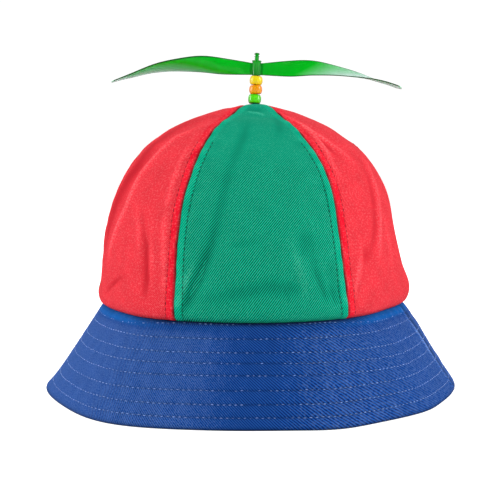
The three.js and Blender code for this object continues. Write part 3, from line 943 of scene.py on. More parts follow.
def thread_material(name, thread):
    """Twisted thread: painted shade in its needle holes, and uneven from stitch to stitch."""
    material, tree, shader = new_material(name, {"Roughness": 0.6, "Specular IOR Level": 0.2})
    stitch = add_node(tree, "NewGeometry").outputs["Random Per Island"]
    tone = worked_out(tree, "MULTIPLY_ADD", stitch, THREAD_SHADE, 1 - THREAD_SHADE / 2)
    shown = mixed(tree, tone_at(tree, NEEDLE_HOLE_SHADE), linear(*thread.colour), linear(*thread.hole))
    dyed = add_node(tree, "HueSaturation", {"Value": tone, "Color": shown})
    feed(tree, shader.inputs["Base Color"], dyed.outputs["Color"])
    return material


thread_materials = {name: thread_material(name + "_thread", thread) for name, thread in THREADS.items()}
print("threads:", list(thread_materials))

# %% [markdown]
# ## Topstitching of the crown
# On each side of a seam a row of stitches holds the turned-in cloth down. The thread lies in the dip that
# the panel's relief already has, and it is darker than the cloth, so it shows as short dark dashes.

# %% Topstitching of the crown
STITCH_PITCH = 3
STITCH_SHARE = 0.62
CROWN_THREAD_RADIUS = 0.28
STITCH_SUNK = 0.22
STITCHED_FROM = 3
TOPSTITCH_SEED = 60
STITCHED_TO = np.interp(climb_at((SEWN_LOW + SEWN_HIGH) / 2), fine_climb, fine_length)
hole_lengths = np.arange(STITCHED_FROM, STITCHED_TO, STITCH_PITCH)


def panel_holes(index, lengths, side):
    """Needle holes along one side of a panel, and the normals there."""
    climb = np.interp(lengths, fine_length, fine_climb)
    _, half, narrow = panel_edges(index, climb)
    inset = STITCH_INSET * narrow
    outer, _, normal, _ = panel_point(index, climb, inset if side == "left" else 2 * half - inset)
    return outer, normal


def sewn_rows(name, rows, thread_radius, colour):
    """One piece of all the stitches in some rows. Each row has starts, ends, normals and hole shares."""
    mesh = stitch_mesh(name, *map(np.concatenate, zip(*rows)), thread_radius)
    return finished_object(name, mesh, thread_materials[colour], "cap")


for index, (name, colour) in enumerate(PANELS):
    rng = np.random.default_rng(TOPSTITCH_SEED + index)
    rows = []
    for side in ("left", "right"):
        first, normal = panel_holes(index, hole_lengths, side)
        second, _ = panel_holes(index, hole_lengths + STITCH_PITCH * STITCH_SHARE, side)
        sunk = normal * rng.uniform(0, STITCH_SUNK, (len(normal), 1))
        rows.append((first - sunk, second - sunk, normal, np.ones(len(normal))))
    sewn_rows(name + "_topstitch", rows, CROWN_THREAD_RADIUS, colour)
print("stitches on each panel:", 2 * len(hole_lengths))

# %% [markdown]
# ## Outline of the brim
# The brim is a cone's side that is no longer round: lobes push its edge in and out, it sags on the left,
# and its upper part is puffed out on the right. Depth counts in millimetres down the slant, from the seam.

# %% Outline of the brim
BRIM_RADIUS = 126.9
BRIM_LOBES = [Lobe(-97, 14, -3.8), Lobe(-34, 17, 7.6), Lobe(21, 10, 5), Lobe(36, 8, 1.6), Lobe(48, 9, 2.8)]
BRIM_SAG = 2.2
BRIM_SAG_AZIMUTH = -90
BRIM_SAG_SPREAD = 40
HEM_SHARPNESS = 8
RIGHT_PUFF = 1.3
RIGHT_PUFF_AZIMUTH = 92
RIGHT_PUFF_SPREAD = 25
RIGHT_PUFF_DOWN = 0.25
BRIM_TOP = SEAM_HEIGHT - PIECE_GAP / 2
BRIM_SLANT = math.atan2(BRIM_RADIUS - SEAM_RADIUS, BRIM_TOP)
BRIM_DEPTH = math.hypot(BRIM_RADIUS - SEAM_RADIUS, BRIM_TOP)
# Turns from the front at which the brim's side begins, and is reached
SIDE_FROM = 22
SIDE_FULL = 55
FRONT_AZIMUTH = 2
FRONT_SPREAD = 12


def at_the_side(azimuth):
    """0 at the brim's front, 1 at its sides and back."""
    return ramp(SIDE_FROM, SIDE_FULL, np.abs(turn_between(azimuth, 0)))


def at_the_front(azimuth):
    """1 in the middle of the brim's front, fading out to both sides."""
    return bell(turn_between(azimuth, FRONT_AZIMUTH), FRONT_SPREAD)


def at_the_sag(azimuth):
    """1 on the left, where the brim sags, fading out to both sides."""
    return bell(turn_between(azimuth, BRIM_SAG_AZIMUTH), BRIM_SAG_SPREAD)


def brim_radius(azimuth, down):
    """The radius of the brim's upper face, where down is 0 at the seam and 1 at the hem."""
    edge = lobed(BRIM_RADIUS, BRIM_LOBES, azimuth)
    seam = lobed(SEAM_RADIUS, SEAM_LOBES, azimuth)
    sag = BRIM_SAG * at_the_sag(azimuth) * down * (1 - down**HEM_SHARPNESS)
    right = bell(turn_between(azimuth, RIGHT_PUFF_AZIMUTH), RIGHT_PUFF_SPREAD)
    puff = RIGHT_PUFF * right * bell(down - RIGHT_PUFF_DOWN, RIGHT_PUFF_DOWN)
    return seam + (edge - seam) * down - sag + puff


print("depth of the brim down its slant, mm:", round(BRIM_DEPTH, 1))

# %% [markdown]
# ## Rows of stitching
# Eight rows of stitching hold the brim's layers together. Seven of them quilt it: the filling swells
# between two rows. On both sides of the front the rows sag. The first row lies close to the seam at the
# front, and drops away from it at the sides.

# %% Rows of stitching
FIRST_ROW = 0.9
FIRST_ROW_DROP = 3.8
QUILT_ROWS = np.array([8.9, 16.7, 22.8, 29.7, 38, 45.8, 52.9])
# The last channel ends this far past the hem
PAST_HEM = 1
# A channel of this width swells by 1, and a power below one makes it full
FULL_CHANNEL = 8
CHANNEL_POWER = 0.7
# Drop is how far a row sags, most at this azimuth and depth
RowSag = namedtuple("RowSag", "azimuth spread depth depth_spread drop")
ROW_SAGS = [RowSag(-60, 35, 28, 26, 2.7), RowSag(55, 30, 23, 14, 3)]


def quilt(depth):
    """The swell of the filling: 0 at each row of stitching, about 1 in the middle of a wide channel."""
    lines = np.concatenate([[0], QUILT_ROWS, [BRIM_DEPTH + PAST_HEM]])
    channel = np.clip(np.searchsorted(lines, depth) - 1, 0, len(lines) - 2)
    width = lines[channel + 1] - lines[channel]
    share = np.clip((depth - lines[channel]) / width, 0, 1)
    return np.sin(math.pi * share) ** CHANNEL_POWER * width / FULL_CHANNEL


def row_sag(azimuth, depth):
    """How much deeper than its place a row of stitching lies at an azimuth."""
    sag = 0
    for spot in ROW_SAGS:
        around = bell(turn_between(azimuth, spot.azimuth), spot.spread)
        sag = sag + spot.drop * around * bell(depth - spot.depth, spot.depth_spread)
    return sag


def row_depths(azimuth):
    """The depth of each row of stitching at an azimuth."""
    first = FIRST_ROW + FIRST_ROW_DROP * at_the_side(azimuth)
    return [first] + [row + row_sag(azimuth, row) for row in QUILT_ROWS]


print("rows of stitching:", 1 + len(QUILT_ROWS))

# %% [markdown]
# ## Tones of the brim
# The brim gets a painted paler sheen at its sides, and it is paler still along the ridge at a side seam,
# where the front half lies over the rear one, which gets painted shade there. The middle of its front gets
# painted shade, as it gets the least light. Each row of stitching lies in a painted shade of its own.

# %% Tones of the brim
# Painted shade under the crown, less so at the sides, and painted shade at the hem
FOOT_SHADE_SPREAD = 1.5
SIDE_UNSHADED = 0.8
HEM_SHADE = 0.9
HEM_SHADE_SPREAD = 1.3
# Painted shade along each row of stitching
ROW_SHADE = 0.45
ROW_SHADE_SPREAD = 0.5
# Painted shade on the rear half beside a side seam, where the front half lies over it
UNDER_SHADE = 0.55
UNDER_SHADE_FROM = 4
UNDER_SHADE_TO = 12
# At the sides the cloth beside the seam is pressed, down to a depth
BAND_FADE_FROM = 3.5
BAND_FADE_TO = 6
# Painted sheen on the brim's sides, from these depths on
SIDE_SHEEN = 0.36
SIDE_SHEEN_FROM = 4
SIDE_SHEEN_FULL = 8
# Right of the front it gets less painted sheen
RIGHT_LESS_SHEEN = 0.14
RIGHT_AZIMUTH = 45
RIGHT_SPREAD = 36
# The ridge is paler, most where the brim is bent, halfway down
RIDGE_PALE = 1.3
RIDGE_PALE_DOWN = 0.45
RIDGE_PALE_SPREAD = 0.36
# Painted light and shade on the puckers, and painted shade in the middle of the front
PUCKER_SHADING = 0.5
FRONT_SHADE = 0.25
SIDE_IRONED = 0.45
FRONT_IRONED = 0.25


def brim_tones(azimuth, depth, over, distance, ridge, pucker):
    """The tones of the brim by name. Over is the upper half at a side seam, and distance is from it."""
    aside = at_the_side(azimuth)
    front = at_the_front(azimuth)
    under_crown = (1 - SIDE_UNSHADED * aside) * bell(depth, FOOT_SHADE_SPREAD)
    shade = np.maximum(under_crown, HEM_SHADE * bell(BRIM_DEPTH - depth, HEM_SHADE_SPREAD))
    if not over:
        shade = np.maximum(shade, UNDER_SHADE * (1 - ramp(UNDER_SHADE_FROM, UNDER_SHADE_TO, distance)))
    rows = sum(bell(depth - row, ROW_SHADE_SPREAD) for row in row_depths(azimuth))
    side_sheen = SIDE_SHEEN - RIGHT_LESS_SHEEN * bell(turn_between(azimuth, RIGHT_AZIMUTH), RIGHT_SPREAD)
    side_sheen = side_sheen * (1 - front) * ramp(SIDE_SHEEN_FROM, SIDE_SHEEN_FULL, depth)
    ridge_pale = RIDGE_PALE * ridge * bell(depth / BRIM_DEPTH - RIDGE_PALE_DOWN, RIDGE_PALE_SPREAD)
    return {
        SEAM_BAND: aside * (1 - ramp(BAND_FADE_FROM, BAND_FADE_TO, depth)),
        PAINTED_SHADE: np.maximum(shade, ROW_SHADE * (1 - aside) * rows),
        PAINTED_LIGHT_AND_SHADE: PUCKER_SHADING * pucker + side_sheen + ridge_pale - FRONT_SHADE * front,
        IRONED: SIDE_IRONED * aside + FRONT_IRONED * front,
    }


# The paleness of the brim's sides is a painted sheen
print("rub of the brim's sides:", SIDE_SHEEN)

# %% [markdown]
# ## Relief of the brim
# The brim is doubled, stiffened cloth. The filling swells between the rows of stitching, so the outline is
# faintly scalloped, and the hem is rolled. Near a side seam the overlapping edge stands up as a ridge.

# %% Relief of the brim
BRIM_WALL = 2.4
BRIM_LEVEL_WALL = BRIM_WALL / math.cos(BRIM_SLANT)
BRIM_MIDDLE_RADIUS = (SEAM_RADIUS + BRIM_RADIUS) / 2
QUILT_RISE = 0.62
QUILT_WAVER = 0.2
UNDERSIDE_SHARE = 0.5
SIDE_FLATNESS = 0.8
BRIM_PUCKER = 0.12
HEM_ROLL = 1.0
HEM_ROLL_SHARE = 0.7
BRIM_SINK = 1.0
BRIM_SINK_DEPTH = 2.0
SIDE_RIDGE = 0.75
SIDE_RIDGE_SPREAD = 0.9
SIDE_GROOVE = 0.6
BRIM_UNEVEN_SEED = 8
BRIM_UNEVEN_WAVES = (20, 60, 7)
BRIM_PUCKER_SEED = 9
BRIM_PUCKER_WAVES = (5, 12, 7)
brim_uneven = seeded_waves(np.random.default_rng(BRIM_UNEVEN_SEED), *BRIM_UNEVEN_WAVES)
brim_pucker = seeded_waves(np.random.default_rng(BRIM_PUCKER_SEED), *BRIM_PUCKER_WAVES)


def brim_point(from_azimuth, azimuth, depth):
    """Points of a half's upper face and underside, the normal, and the tones. It starts at from_azimuth."""
    down = depth / BRIM_DEPTH
    radius = brim_radius(azimuth, down)
    middle = CROWN_OFFSET * (1 - down)
    level = BRIM_TOP * (1 - down)
    around = np.radians(azimuth) * BRIM_MIDDLE_RADIUS
    to_side = np.minimum(azimuth - from_azimuth, from_azimuth + 180 - azimuth)
    distance = np.radians(to_side) * radius
    over = from_azimuth < 0
    ridge = over * bell(distance - SIDE_RIDGE_SPREAD, SIDE_RIDGE_SPREAD)
    groove = SIDE_GROOVE * bell(distance, SIDE_RIDGE_SPREAD / 2)
    filling = quilt(depth - row_sag(azimuth, depth)) * (1 - SIDE_FLATNESS * at_the_side(azimuth))
    swell = QUILT_RISE * filling * (1 + QUILT_WAVER * brim_uneven(around, depth))
    pucker = BRIM_PUCKER * brim_pucker(around, depth) * (1 - SIDE_FLATNESS * at_the_sag(azimuth))
    roll = np.clip(1 - (BRIM_DEPTH - depth) / HEM_ROLL, 0, 1)
    rolled = HEM_ROLL_SHARE * BRIM_LEVEL_WALL / 2 * (1 - np.sqrt(np.maximum(1 - roll**2, 0)))
    sink = BRIM_SINK * (1 - ramp(0, BRIM_SINK_DEPTH, depth))
    fade = 1 - roll
    normal = at_azimuth(0, math.cos(BRIM_SLANT), azimuth, math.sin(BRIM_SLANT))
    relief = (swell + pucker + SIDE_RIDGE * ridge - groove) * fade
    outer = at_azimuth(middle, radius - rolled - sink, azimuth, level) + normal * relief[..., None]
    under = at_azimuth(middle, radius - BRIM_LEVEL_WALL + rolled - sink, azimuth, level)
    inner = under - normal * (UNDERSIDE_SHARE * swell * fade)[..., None]
    return outer, inner, normal, brim_tones(azimuth, depth, over, distance, ridge, pucker)


print("wall of the brim, measured level, mm:", round(BRIM_LEVEL_WALL, 2))

# %% [markdown]
# ## Brim
# The two halves are closed walls like the panels. Their columns lie close together at the side seams and
# their rows at the hem. The twill is pushed together left of the front and drawn apart right of it, as
# cloth is that was stretched while it was sewn, so the place on the flat cloth is drawn aside too.

# %% Brim
BRIM_SEAM_AZIMUTH = 74
BRIM_HALVES = [("brim_front", BRIM_SEAM_AZIMUTH - 180), ("brim_rear", BRIM_SEAM_AZIMUTH)]
# The twill is drawn by this share, reached within this many degrees, and by this power of it up the brim
GRAIN_DRAW = 0.42
GRAIN_DRAW_TURN = 20
GRAIN_LIFT = 0.7


def brim_cloth_place(azimuth, depth):
    """Where a point of the brim lies on the twill."""
    drawn = GRAIN_DRAW * GRAIN_DRAW_TURN * np.log(np.cosh(azimuth / GRAIN_DRAW_TURN))
    density = 1 - GRAIN_DRAW * np.tanh(azimuth / GRAIN_DRAW_TURN)
    up = (BRIM_DEPTH / 2 - depth) * density**GRAIN_LIFT
    return np.stack([np.radians(azimuth - drawn) * BRIM_MIDDLE_RADIUS, up], -1)


# Columns beside a side seam, in degrees from it, and the first of the even ones
EDGE_TURNS = np.array([0, 0.2, 0.4, 0.65, 0.95, 1.3])
EVEN_FROM = 1.8
BRIM_COLUMNS = 200
BRIM_ROWS = 84
HEM_ROWS = 8
SLIT_TURN = math.degrees(SEAM_SLIT / 2 / BRIM_RADIUS)
even_turns = np.linspace(EVEN_FROM, 180 - EVEN_FROM, BRIM_COLUMNS)
turns = np.concatenate([EDGE_TURNS, even_turns, 180 - EDGE_TURNS[::-1]])
turns = np.clip(turns, SLIT_TURN, 180 - SLIT_TURN)
depth_rows = np.unique(np.concatenate([np.linspace(0, BRIM_DEPTH - HEM_ROLL, BRIM_ROWS), QUILT_ROWS]))
hem_rows = BRIM_DEPTH - HEM_ROLL * (1 - np.sin(np.linspace(0, math.pi / 2, HEM_ROWS)[1:]))
brim_depths = np.concatenate([depth_rows, hem_rows])[::-1, None]

for name, from_azimuth in BRIM_HALVES:
    azimuth, depth = np.broadcast_arrays(from_azimuth + turns, brim_depths)
    outer, inner, _, tones = brim_point(from_azimuth, azimuth, depth)
    mesh = wall_mesh(name + "_cloth", outer, inner, brim_cloth_place(azimuth, depth), tones)
    piece = finished_object(name + "_cloth", mesh, cloth_materials["blue"], "cap")
    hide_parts(name)

# %% [markdown]
# ## Stitching of the brim
# The rows on the brim are sewn with a paler thread, so each stitch shows. A row's stitches are counted from
# its length, and each is nudged a little off the line, because no machine feeds stiff cloth quite evenly.
# They sink in deeper at the front and in the first row.

# %% Stitching of the brim
BRIM_THREAD_RADIUS = 0.2
BRIM_STITCH_SHARE = 0.72
BRIM_STITCH_SEED = 21
FIRST_HOLE = 0.1
STITCH_NUDGE = 0.1
# At the sides the needle holes get less painted shade
SIDE_HOLES_UNSHADED = 0.6
FIRST_ROW_SUNK = 0.15
FRONT_SUNK = 0.13
for name, from_azimuth in BRIM_HALVES:
    rng = np.random.default_rng(BRIM_STITCH_SEED)
    rows = []
    for row, depth in enumerate([FIRST_ROW, *QUILT_ROWS]):
        row_radius = SEAM_RADIUS + (BRIM_RADIUS - SEAM_RADIUS) * depth / BRIM_DEPTH
        count = int(math.pi * row_radius / STITCH_PITCH)
        step = 180 / count
        hole = from_azimuth + step * (np.arange(count) + FIRST_HOLE)
        next_hole = hole + step * BRIM_STITCH_SHARE
        nudge = rng.normal(0, STITCH_NUDGE, count)
        first, _, normal, _ = brim_point(from_azimuth, hole, row_depths(hole)[row] + nudge)
        second = brim_point(from_azimuth, next_hole, row_depths(next_hole)[row] + nudge)[0]
        deeper = FIRST_ROW_SUNK * (row == 0) + FRONT_SUNK * at_the_front(hole)[:, None]
        sunk = normal * (rng.uniform(0, STITCH_SUNK, (count, 1)) + deeper)
        rows.append((first - sunk, second - sunk, normal, 1 - SIDE_HOLES_UNSHADED * at_the_side(hole)))
    sewn_rows(name + "_stitching", rows, BRIM_THREAD_RADIUS, "blue")
    print(name, "stitches:", sum(len(starts) for starts, *_ in rows))

# %% [markdown]
# ## Glossy plastic
# Beads and propeller are moulded plastic. What makes plastic look real is its gloss: a clear coat that
# mirrors the soft boxes, with a roughness that drifts a little and a few faint scuffs. All the plastics
# share these scuffs. Light also goes a little way in. At edges a darker colour is painted on, for shade
# and for light that has gone a long way through the plastic. A face seen aslant is painted too: with a
# deeper shade on the beads and the pin, and a paler reflection on the clear propeller.

# %% Glossy plastic
EDGE_TONE = "edge_tone"
GRAIN_SCALE = 700
GRAIN_BUMP = 0.02
GRAIN_BUMP_STRENGTH = 0.1
SMEAR_TONE = 0.2
# How fast the painted aslant colour comes in where the plastic turns away, and from how far
TURN_GAIN = 1.5
TURN_FROM = 0.18
LIGHT_REACH = 1.5

scuffs, scuffs_in, scuffs_out = new_group(
    "handling_scuffs", {"Scale": 300, "Depth": 0.1, "Finish": 0.1}, ["Roughness", "Height", "Tone"])
spot = add_node(scuffs, "TexCoord").outputs["Object"]
smears = add_node(scuffs, "TexNoise", {"Vector": spot, "Scale": scuffs_in["Scale"], "Detail": 3})
smear = smears.outputs["Fac"]
grain = add_node(scuffs, "TexNoise", {"Vector": spot, "Scale": GRAIN_SCALE, "Detail": 2})
drift = worked_out(scuffs, "MULTIPLY", smear, scuffs_in["Depth"])
feed(scuffs, scuffs_out["Roughness"], worked_out(scuffs, "ADD", drift, scuffs_in["Finish"]))
feed(scuffs, scuffs_out["Height"], grain.outputs["Fac"])
feed(scuffs, scuffs_out["Tone"], worked_out(scuffs, "MULTIPLY_ADD", smear, SMEAR_TONE, 1 - SMEAR_TONE / 2))

# Colours of the plastic, of its painted darker edges, and of a face turned away, a painted shade on beads
# and pin and a painted reflection on the propeller, with that colour's share; how much light goes in; the
# mirroring of the plastic and of its clear coat; and the roughness of its finish
Plastic = namedtuple("Plastic", "colour edge turned turned_share clear gloss coat finish")
PLASTICS = {
    "lime": Plastic((96, 242, 14), (8, 52, 10), (52, 150, 10), 0.7, 0.25, 0.5, 0.4, 0.2),
    "orange": Plastic((255, 168, 0), (234, 104, 0), (248, 120, 0), 0.7, 0.25, 0.5, 0.4, 0.2),
    "yellow": Plastic((252, 230, 16), (226, 172, 12), (236, 190, 14), 0.7, 0.25, 0.5, 0.4, 0.2),
    "green": Plastic((0, 190, 30), (0, 78, 22), (190, 224, 216), 0.85, 0.5, 0.25, 0.1, 0.16),
    "green_pin": Plastic((0, 172, 30), (0, 66, 20), (0, 62, 18), 0.9, 0.1, 0.3, 0.2, 0.06),
}


def plastic_material(name, plastic):
    """Moulded plastic with a clear coat, painted darker edges, and painted shade and reflection aslant."""
    material, tree, shader = new_material(name, {
        "Specular IOR Level": plastic.gloss,
        "Coat Weight": plastic.coat,
        "Coat Roughness": plastic.finish,
        "Subsurface Weight": plastic.clear,
        "Subsurface Radius": (1, 1, 1),
        "Subsurface Scale": LIGHT_REACH * MM,
    })
    pattern = add_node(tree, "Group", {"Finish": plastic.finish}, node_tree=scuffs).outputs
    facing = add_node(tree, "LayerWeight", {"Blend": 0.5}).outputs["Facing"]
    turned = worked_out(tree, "MULTIPLY_ADD", facing, TURN_GAIN, -TURN_FROM, clamp=True)
    share = worked_out(tree, "MULTIPLY", turned, plastic.turned_share)
    body = mixed(tree, share, linear(*plastic.colour), linear(*plastic.turned))
    shown = mixed(tree, tone_at(tree, EDGE_TONE), body, linear(*plastic.edge))
    toned = add_node(tree, "HueSaturation", {"Value": pattern["Tone"], "Color": shown})
    feed(tree, shader.inputs["Base Color"], toned.outputs["Color"])
    feed(tree, shader.inputs["Roughness"], pattern["Roughness"])
    bump = add_node(tree, "Bump", {
        "Height": pattern["Height"], "Strength": GRAIN_BUMP_STRENGTH, "Distance": GRAIN_BUMP * MM})
    feed(tree, shader.inputs["Normal"], bump.outputs["Normal"])
    return material


plastic_materials = {name: plastic_material(name + "_plastic", facts) for name, facts in PLASTICS.items()}
print("plastics:", list(plastic_materials))

# %% [markdown]
# ## Turned shapes
# Everything on the post is turned: a profile of radius against height, swept around the axis. The joint of
# the propeller gives that axis, so the string stands where the solids stand.

# %% Turned shapes
TURNED_SIDES = 64
BORE_RADIUS = 1.55
BEAD_HEIGHT = 5.3
BARREL_HEIGHT = 9.2
BEAD_COUNT = 3
# Heights on the string count from the crown's top
BARREL_FOOT = BEAD_COUNT * (BEAD_HEIGHT + PIECE_GAP) + PIECE_GAP
BARREL_MIDDLE = BARREL_FOOT + BARREL_HEIGHT / 2
spin = frame["joints"][0]
string_lean = math.atan2(spin["axis"][0], spin["axis"][2])
string_matrix = Matrix.Translation(Vector(spin["pos_m"]) / MM) @ Matrix.Rotation(string_lean, 4, "Y")


def turned_mesh(name, profile, closed):
    """A mesh of revolution from [radius, height] pairs up its outside: a ring where closed, else a pin."""
    profile = np.array(profile, float)
    turns = np.arange(TURNED_SIDES) * 2 * math.pi / TURNED_SIDES
    radius, height = profile[:, 0, None], profile[:, 1, None]
    points = np.stack(np.broadcast_arrays(radius * np.cos(turns), radius * np.sin(turns), height), -1)
    corner = np.arange(points[..., 0].size).reshape(-1, TURNED_SIDES)
    beside = np.roll(corner, -1, axis=1)
    above = np.roll(corner, -1, axis=0)
    quads = np.stack([corner, beside, np.roll(above, -1, axis=1), above], -1)
    faces = (quads if closed else quads[:-1]).reshape(-1, 4).tolist()
    if not closed:
        faces += [corner[0, ::-1].tolist(), corner[-1].tolist()]
    return new_mesh(name, points, faces)


def arc(middle_radius, middle_height, radius, from_angle, to_angle, steps=5):
    """Points of an arc in a profile, as [radius, height] pairs. Angle 0 points out, and 90 up."""
    angles = np.radians(np.linspace(from_angle, to_angle, steps))
    return [[middle_radius + radius * math.cos(a), middle_height + radius * math.sin(a)] for a in angles]


print("lean of the string, degrees:", round(math.degrees(string_lean), 2))

# %% [markdown]
# ## Beads
# A bead is a flattened ball with a drilled hole. The beads are loose on the real post, so each sits a
# little askew and to one side, and settles on what is under it. Its lower end gets painted shade, where
# the bead or the crown under it shades it.

# %% Beads
BEAD_RADIUS = 4.05
BEAD_END_RADIUS = 2.7
BEAD_FULLNESS = 2
BEAD_RIM = 0.3
BEAD_ROWS = 29
RIM_ROWS = 6
BEAD_END_SHADE = 0.9
BEAD_END_FROM = 0.8
# Aside and settled in millimetres, and askew in degrees
Bead = namedtuple("Bead", "name colour aside askew settled")
BEADS = [
    Bead("bead_lime", "lime", -0.4, 1.5, 0.5),
    Bead("bead_orange", "orange", 0, -3.5, 0.1),
    Bead("bead_yellow", "yellow", 0.1, 2.5, 0.1),
]


def bead_profile(settled):
    """The profile of a bead about its own middle, whose lower end reaches down by settled."""
    share = np.sin(np.linspace(-math.pi / 2, math.pi / 2, BEAD_ROWS))
    fullness = np.sqrt(1 - np.abs(share) ** BEAD_FULLNESS)
    radius = BEAD_END_RADIUS + (BEAD_RADIUS - BEAD_END_RADIUS) * fullness
    height = share * BEAD_HEIGHT / 2 + np.minimum(share, 0) * settled
    top = BEAD_HEIGHT / 2 - BEAD_RIM
    upper = arc(BORE_RADIUS + BEAD_RIM, top, BEAD_RIM, 90, 180, RIM_ROWS)
    lower = arc(BORE_RADIUS + BEAD_RIM, -top - settled, BEAD_RIM, 180, 270, RIM_ROWS)
    return np.stack([radius, height], -1).tolist() + upper + lower


for index, bead in enumerate(BEADS):
    name = bead.name + "_moulded"
    middle = PIECE_GAP + BEAD_HEIGHT / 2 + index * (BEAD_HEIGHT + PIECE_GAP) - BARREL_MIDDLE
    mesh = turned_mesh(name, bead_profile(bead.settled), True)
    down = -points_of(mesh)[:, 2] * 2 / BEAD_HEIGHT
    set_tone(mesh, EDGE_TONE, BEAD_END_SHADE * ramp(BEAD_END_FROM, 1, down))
    tilt = Matrix.Rotation(math.radians(bead.askew), 4, "Y")
    mesh.transform(string_matrix @ Matrix.Translation((bead.aside, 0, middle)) @ tilt)
    piece = finished_object(name, mesh, plastic_materials[bead.colour], "cap")
    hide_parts(bead.name)
print("beads:", len(BEADS))

# %% [markdown]
# ## Post
# The post is one turned pin: a flange inside the crown holds it, the beads and the propeller run on it, and
# a collar, a neck and a domed head keep them on.

# %% Post
# Heights count from the crown's top
NEAR_AXIS = 0.02
FLANGE_RADIUS = 4.5
FLANGE_FOOT = -3.25
FLANGE_TOP = -2.05
FLANGE_ROUND = 0.3
POST_RADIUS = 1.25
PIN_TOP = 28.2
COLLAR_OUT = 0.05
COLLAR_MIDDLE = 28.6
COLLAR_ROUND = 0.25
NECK_RADIUS = 1.15
NECK_FOOT = 28.95
NECK_TOP = 29.5
HEAD_RADIUS = 1.55
HEAD_FOOT = 29.8
HEAD_FOOT_ROUND = 0.25
HEAD_ROUND = 0.45
POST_TOP = 30.8
HEAD_TONE = 0.8
HEAD_TONE_SPREAD = 0.7
flange_middle = FLANGE_RADIUS - FLANGE_ROUND
post_profile = [[NEAR_AXIS, FLANGE_FOOT]]
post_profile += arc(flange_middle, FLANGE_FOOT + FLANGE_ROUND, FLANGE_ROUND, -90, 0)
post_profile += arc(flange_middle, FLANGE_TOP - FLANGE_ROUND, FLANGE_ROUND, 0, 90)
post_profile += [[POST_RADIUS + FLANGE_ROUND, FLANGE_TOP], [POST_RADIUS, FLANGE_TOP + FLANGE_ROUND]]
post_profile += [[POST_RADIUS, PIN_TOP]]
post_profile += arc(POST_RADIUS + COLLAR_OUT, COLLAR_MIDDLE, COLLAR_ROUND, -90, 90, steps=7)
post_profile += [[NECK_RADIUS, NECK_FOOT], [NECK_RADIUS, NECK_TOP]]
post_profile += arc(HEAD_RADIUS - HEAD_FOOT_ROUND, HEAD_FOOT, HEAD_FOOT_ROUND, -90, 0)
post_profile += arc(HEAD_RADIUS - HEAD_ROUND, POST_TOP - HEAD_ROUND, HEAD_ROUND, 0, 90, steps=7)
post_profile += [[NEAR_AXIS, POST_TOP]]
post_mesh = turned_mesh("post_moulded", post_profile, False)
set_tone(post_mesh, EDGE_TONE, HEAD_TONE * bell(points_of(post_mesh)[:, 2] - POST_TOP, HEAD_TONE_SPREAD))
post_mesh.transform(string_matrix @ Matrix.Translation((0, 0, -BARREL_MIDDLE)))
post_piece = finished_object(
    "post_moulded", post_mesh, plastic_materials["green_pin"], "cap")
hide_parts("post")
print("length of the post, mm:", POST_TOP - FLANGE_FOOT)

# %% [markdown]
# ## Blades
# A blade is a thin plate that stands upright at the barrel and turns almost flat at its tip, so it is
# lofted: a thin oval section is placed at each reach, with the width, twist and rise that a smooth curve
# through a short table gives. The root swells where it meets the barrel. The blades are cupped, and their
# tips are bent, by different amounts.

# %% Blades
Section = namedtuple("Section", "reach rise half twist")
BLADE_SECTIONS = [
    Section(2, -0.7, 3.6, 87),
    Section(20, 0.3, 4.95, 83),
    Section(34, 1.2, 5.55, 60),
    Section(48, 0.2, 5.95, 36),
    Section(62, -2, 6.2, 19),
    Section(76, -5.8, 6, 2),
    Section(92, -11.6, 5.7, -5),
]
BARREL_RADIUS = 2.65
BLADE_THICKNESS = 0.9
BLADE_TIP = 89.2
BLADE_TIP_ROUND = 4
BLADE_TIP_SHARE = 0.995
ROOT_SWELL = 1.3
ROOT_SWELL_REACH = 1.8
# Powers below one square the oval: its width, and its thickness
WIDTH_POWER = 0.55
LIFT_POWER = 0.6
# Reaches at which the cup starts, is full and begins to fade, and between which the tip bends
CUP_START = 6
CUP_FULL = 20
CUP_FADE = 74
BEND_START = 52
BEND_END = 96
BLADE_STATIONS = 110
SECTION_POINTS = 28


def blade_curve(column, reach):
    """One column of the blade's table on a smooth curve through its rows, at each reach."""
    knots = np.array([section.reach for section in BLADE_SECTIONS], float)
    values = np.array([getattr(section, column) for section in BLADE_SECTIONS], float)
    before = np.concatenate([[0], np.arange(len(knots) - 1)])
    after = np.concatenate([np.arange(1, len(knots)), [len(knots) - 1]])
    slopes = (values[after] - values[before]) / (knots[after] - knots[before])
    row = np.clip(np.searchsorted(knots, reach) - 1, 0, len(knots) - 2)
    span = knots[row + 1] - knots[row]
    t = (reach - knots[row]) / span
    ends = values[row] + (values[row + 1] - values[row]) * t * t * (3 - 2 * t)
    return ends + span * (slopes[row] * t * (1 - t) ** 2 - slopes[row + 1] * t * t * (1 - t))


def squared(wave, power):
    """A wave about 0 made fuller by a power below one."""
    return np.sign(wave) * np.abs(wave) ** power


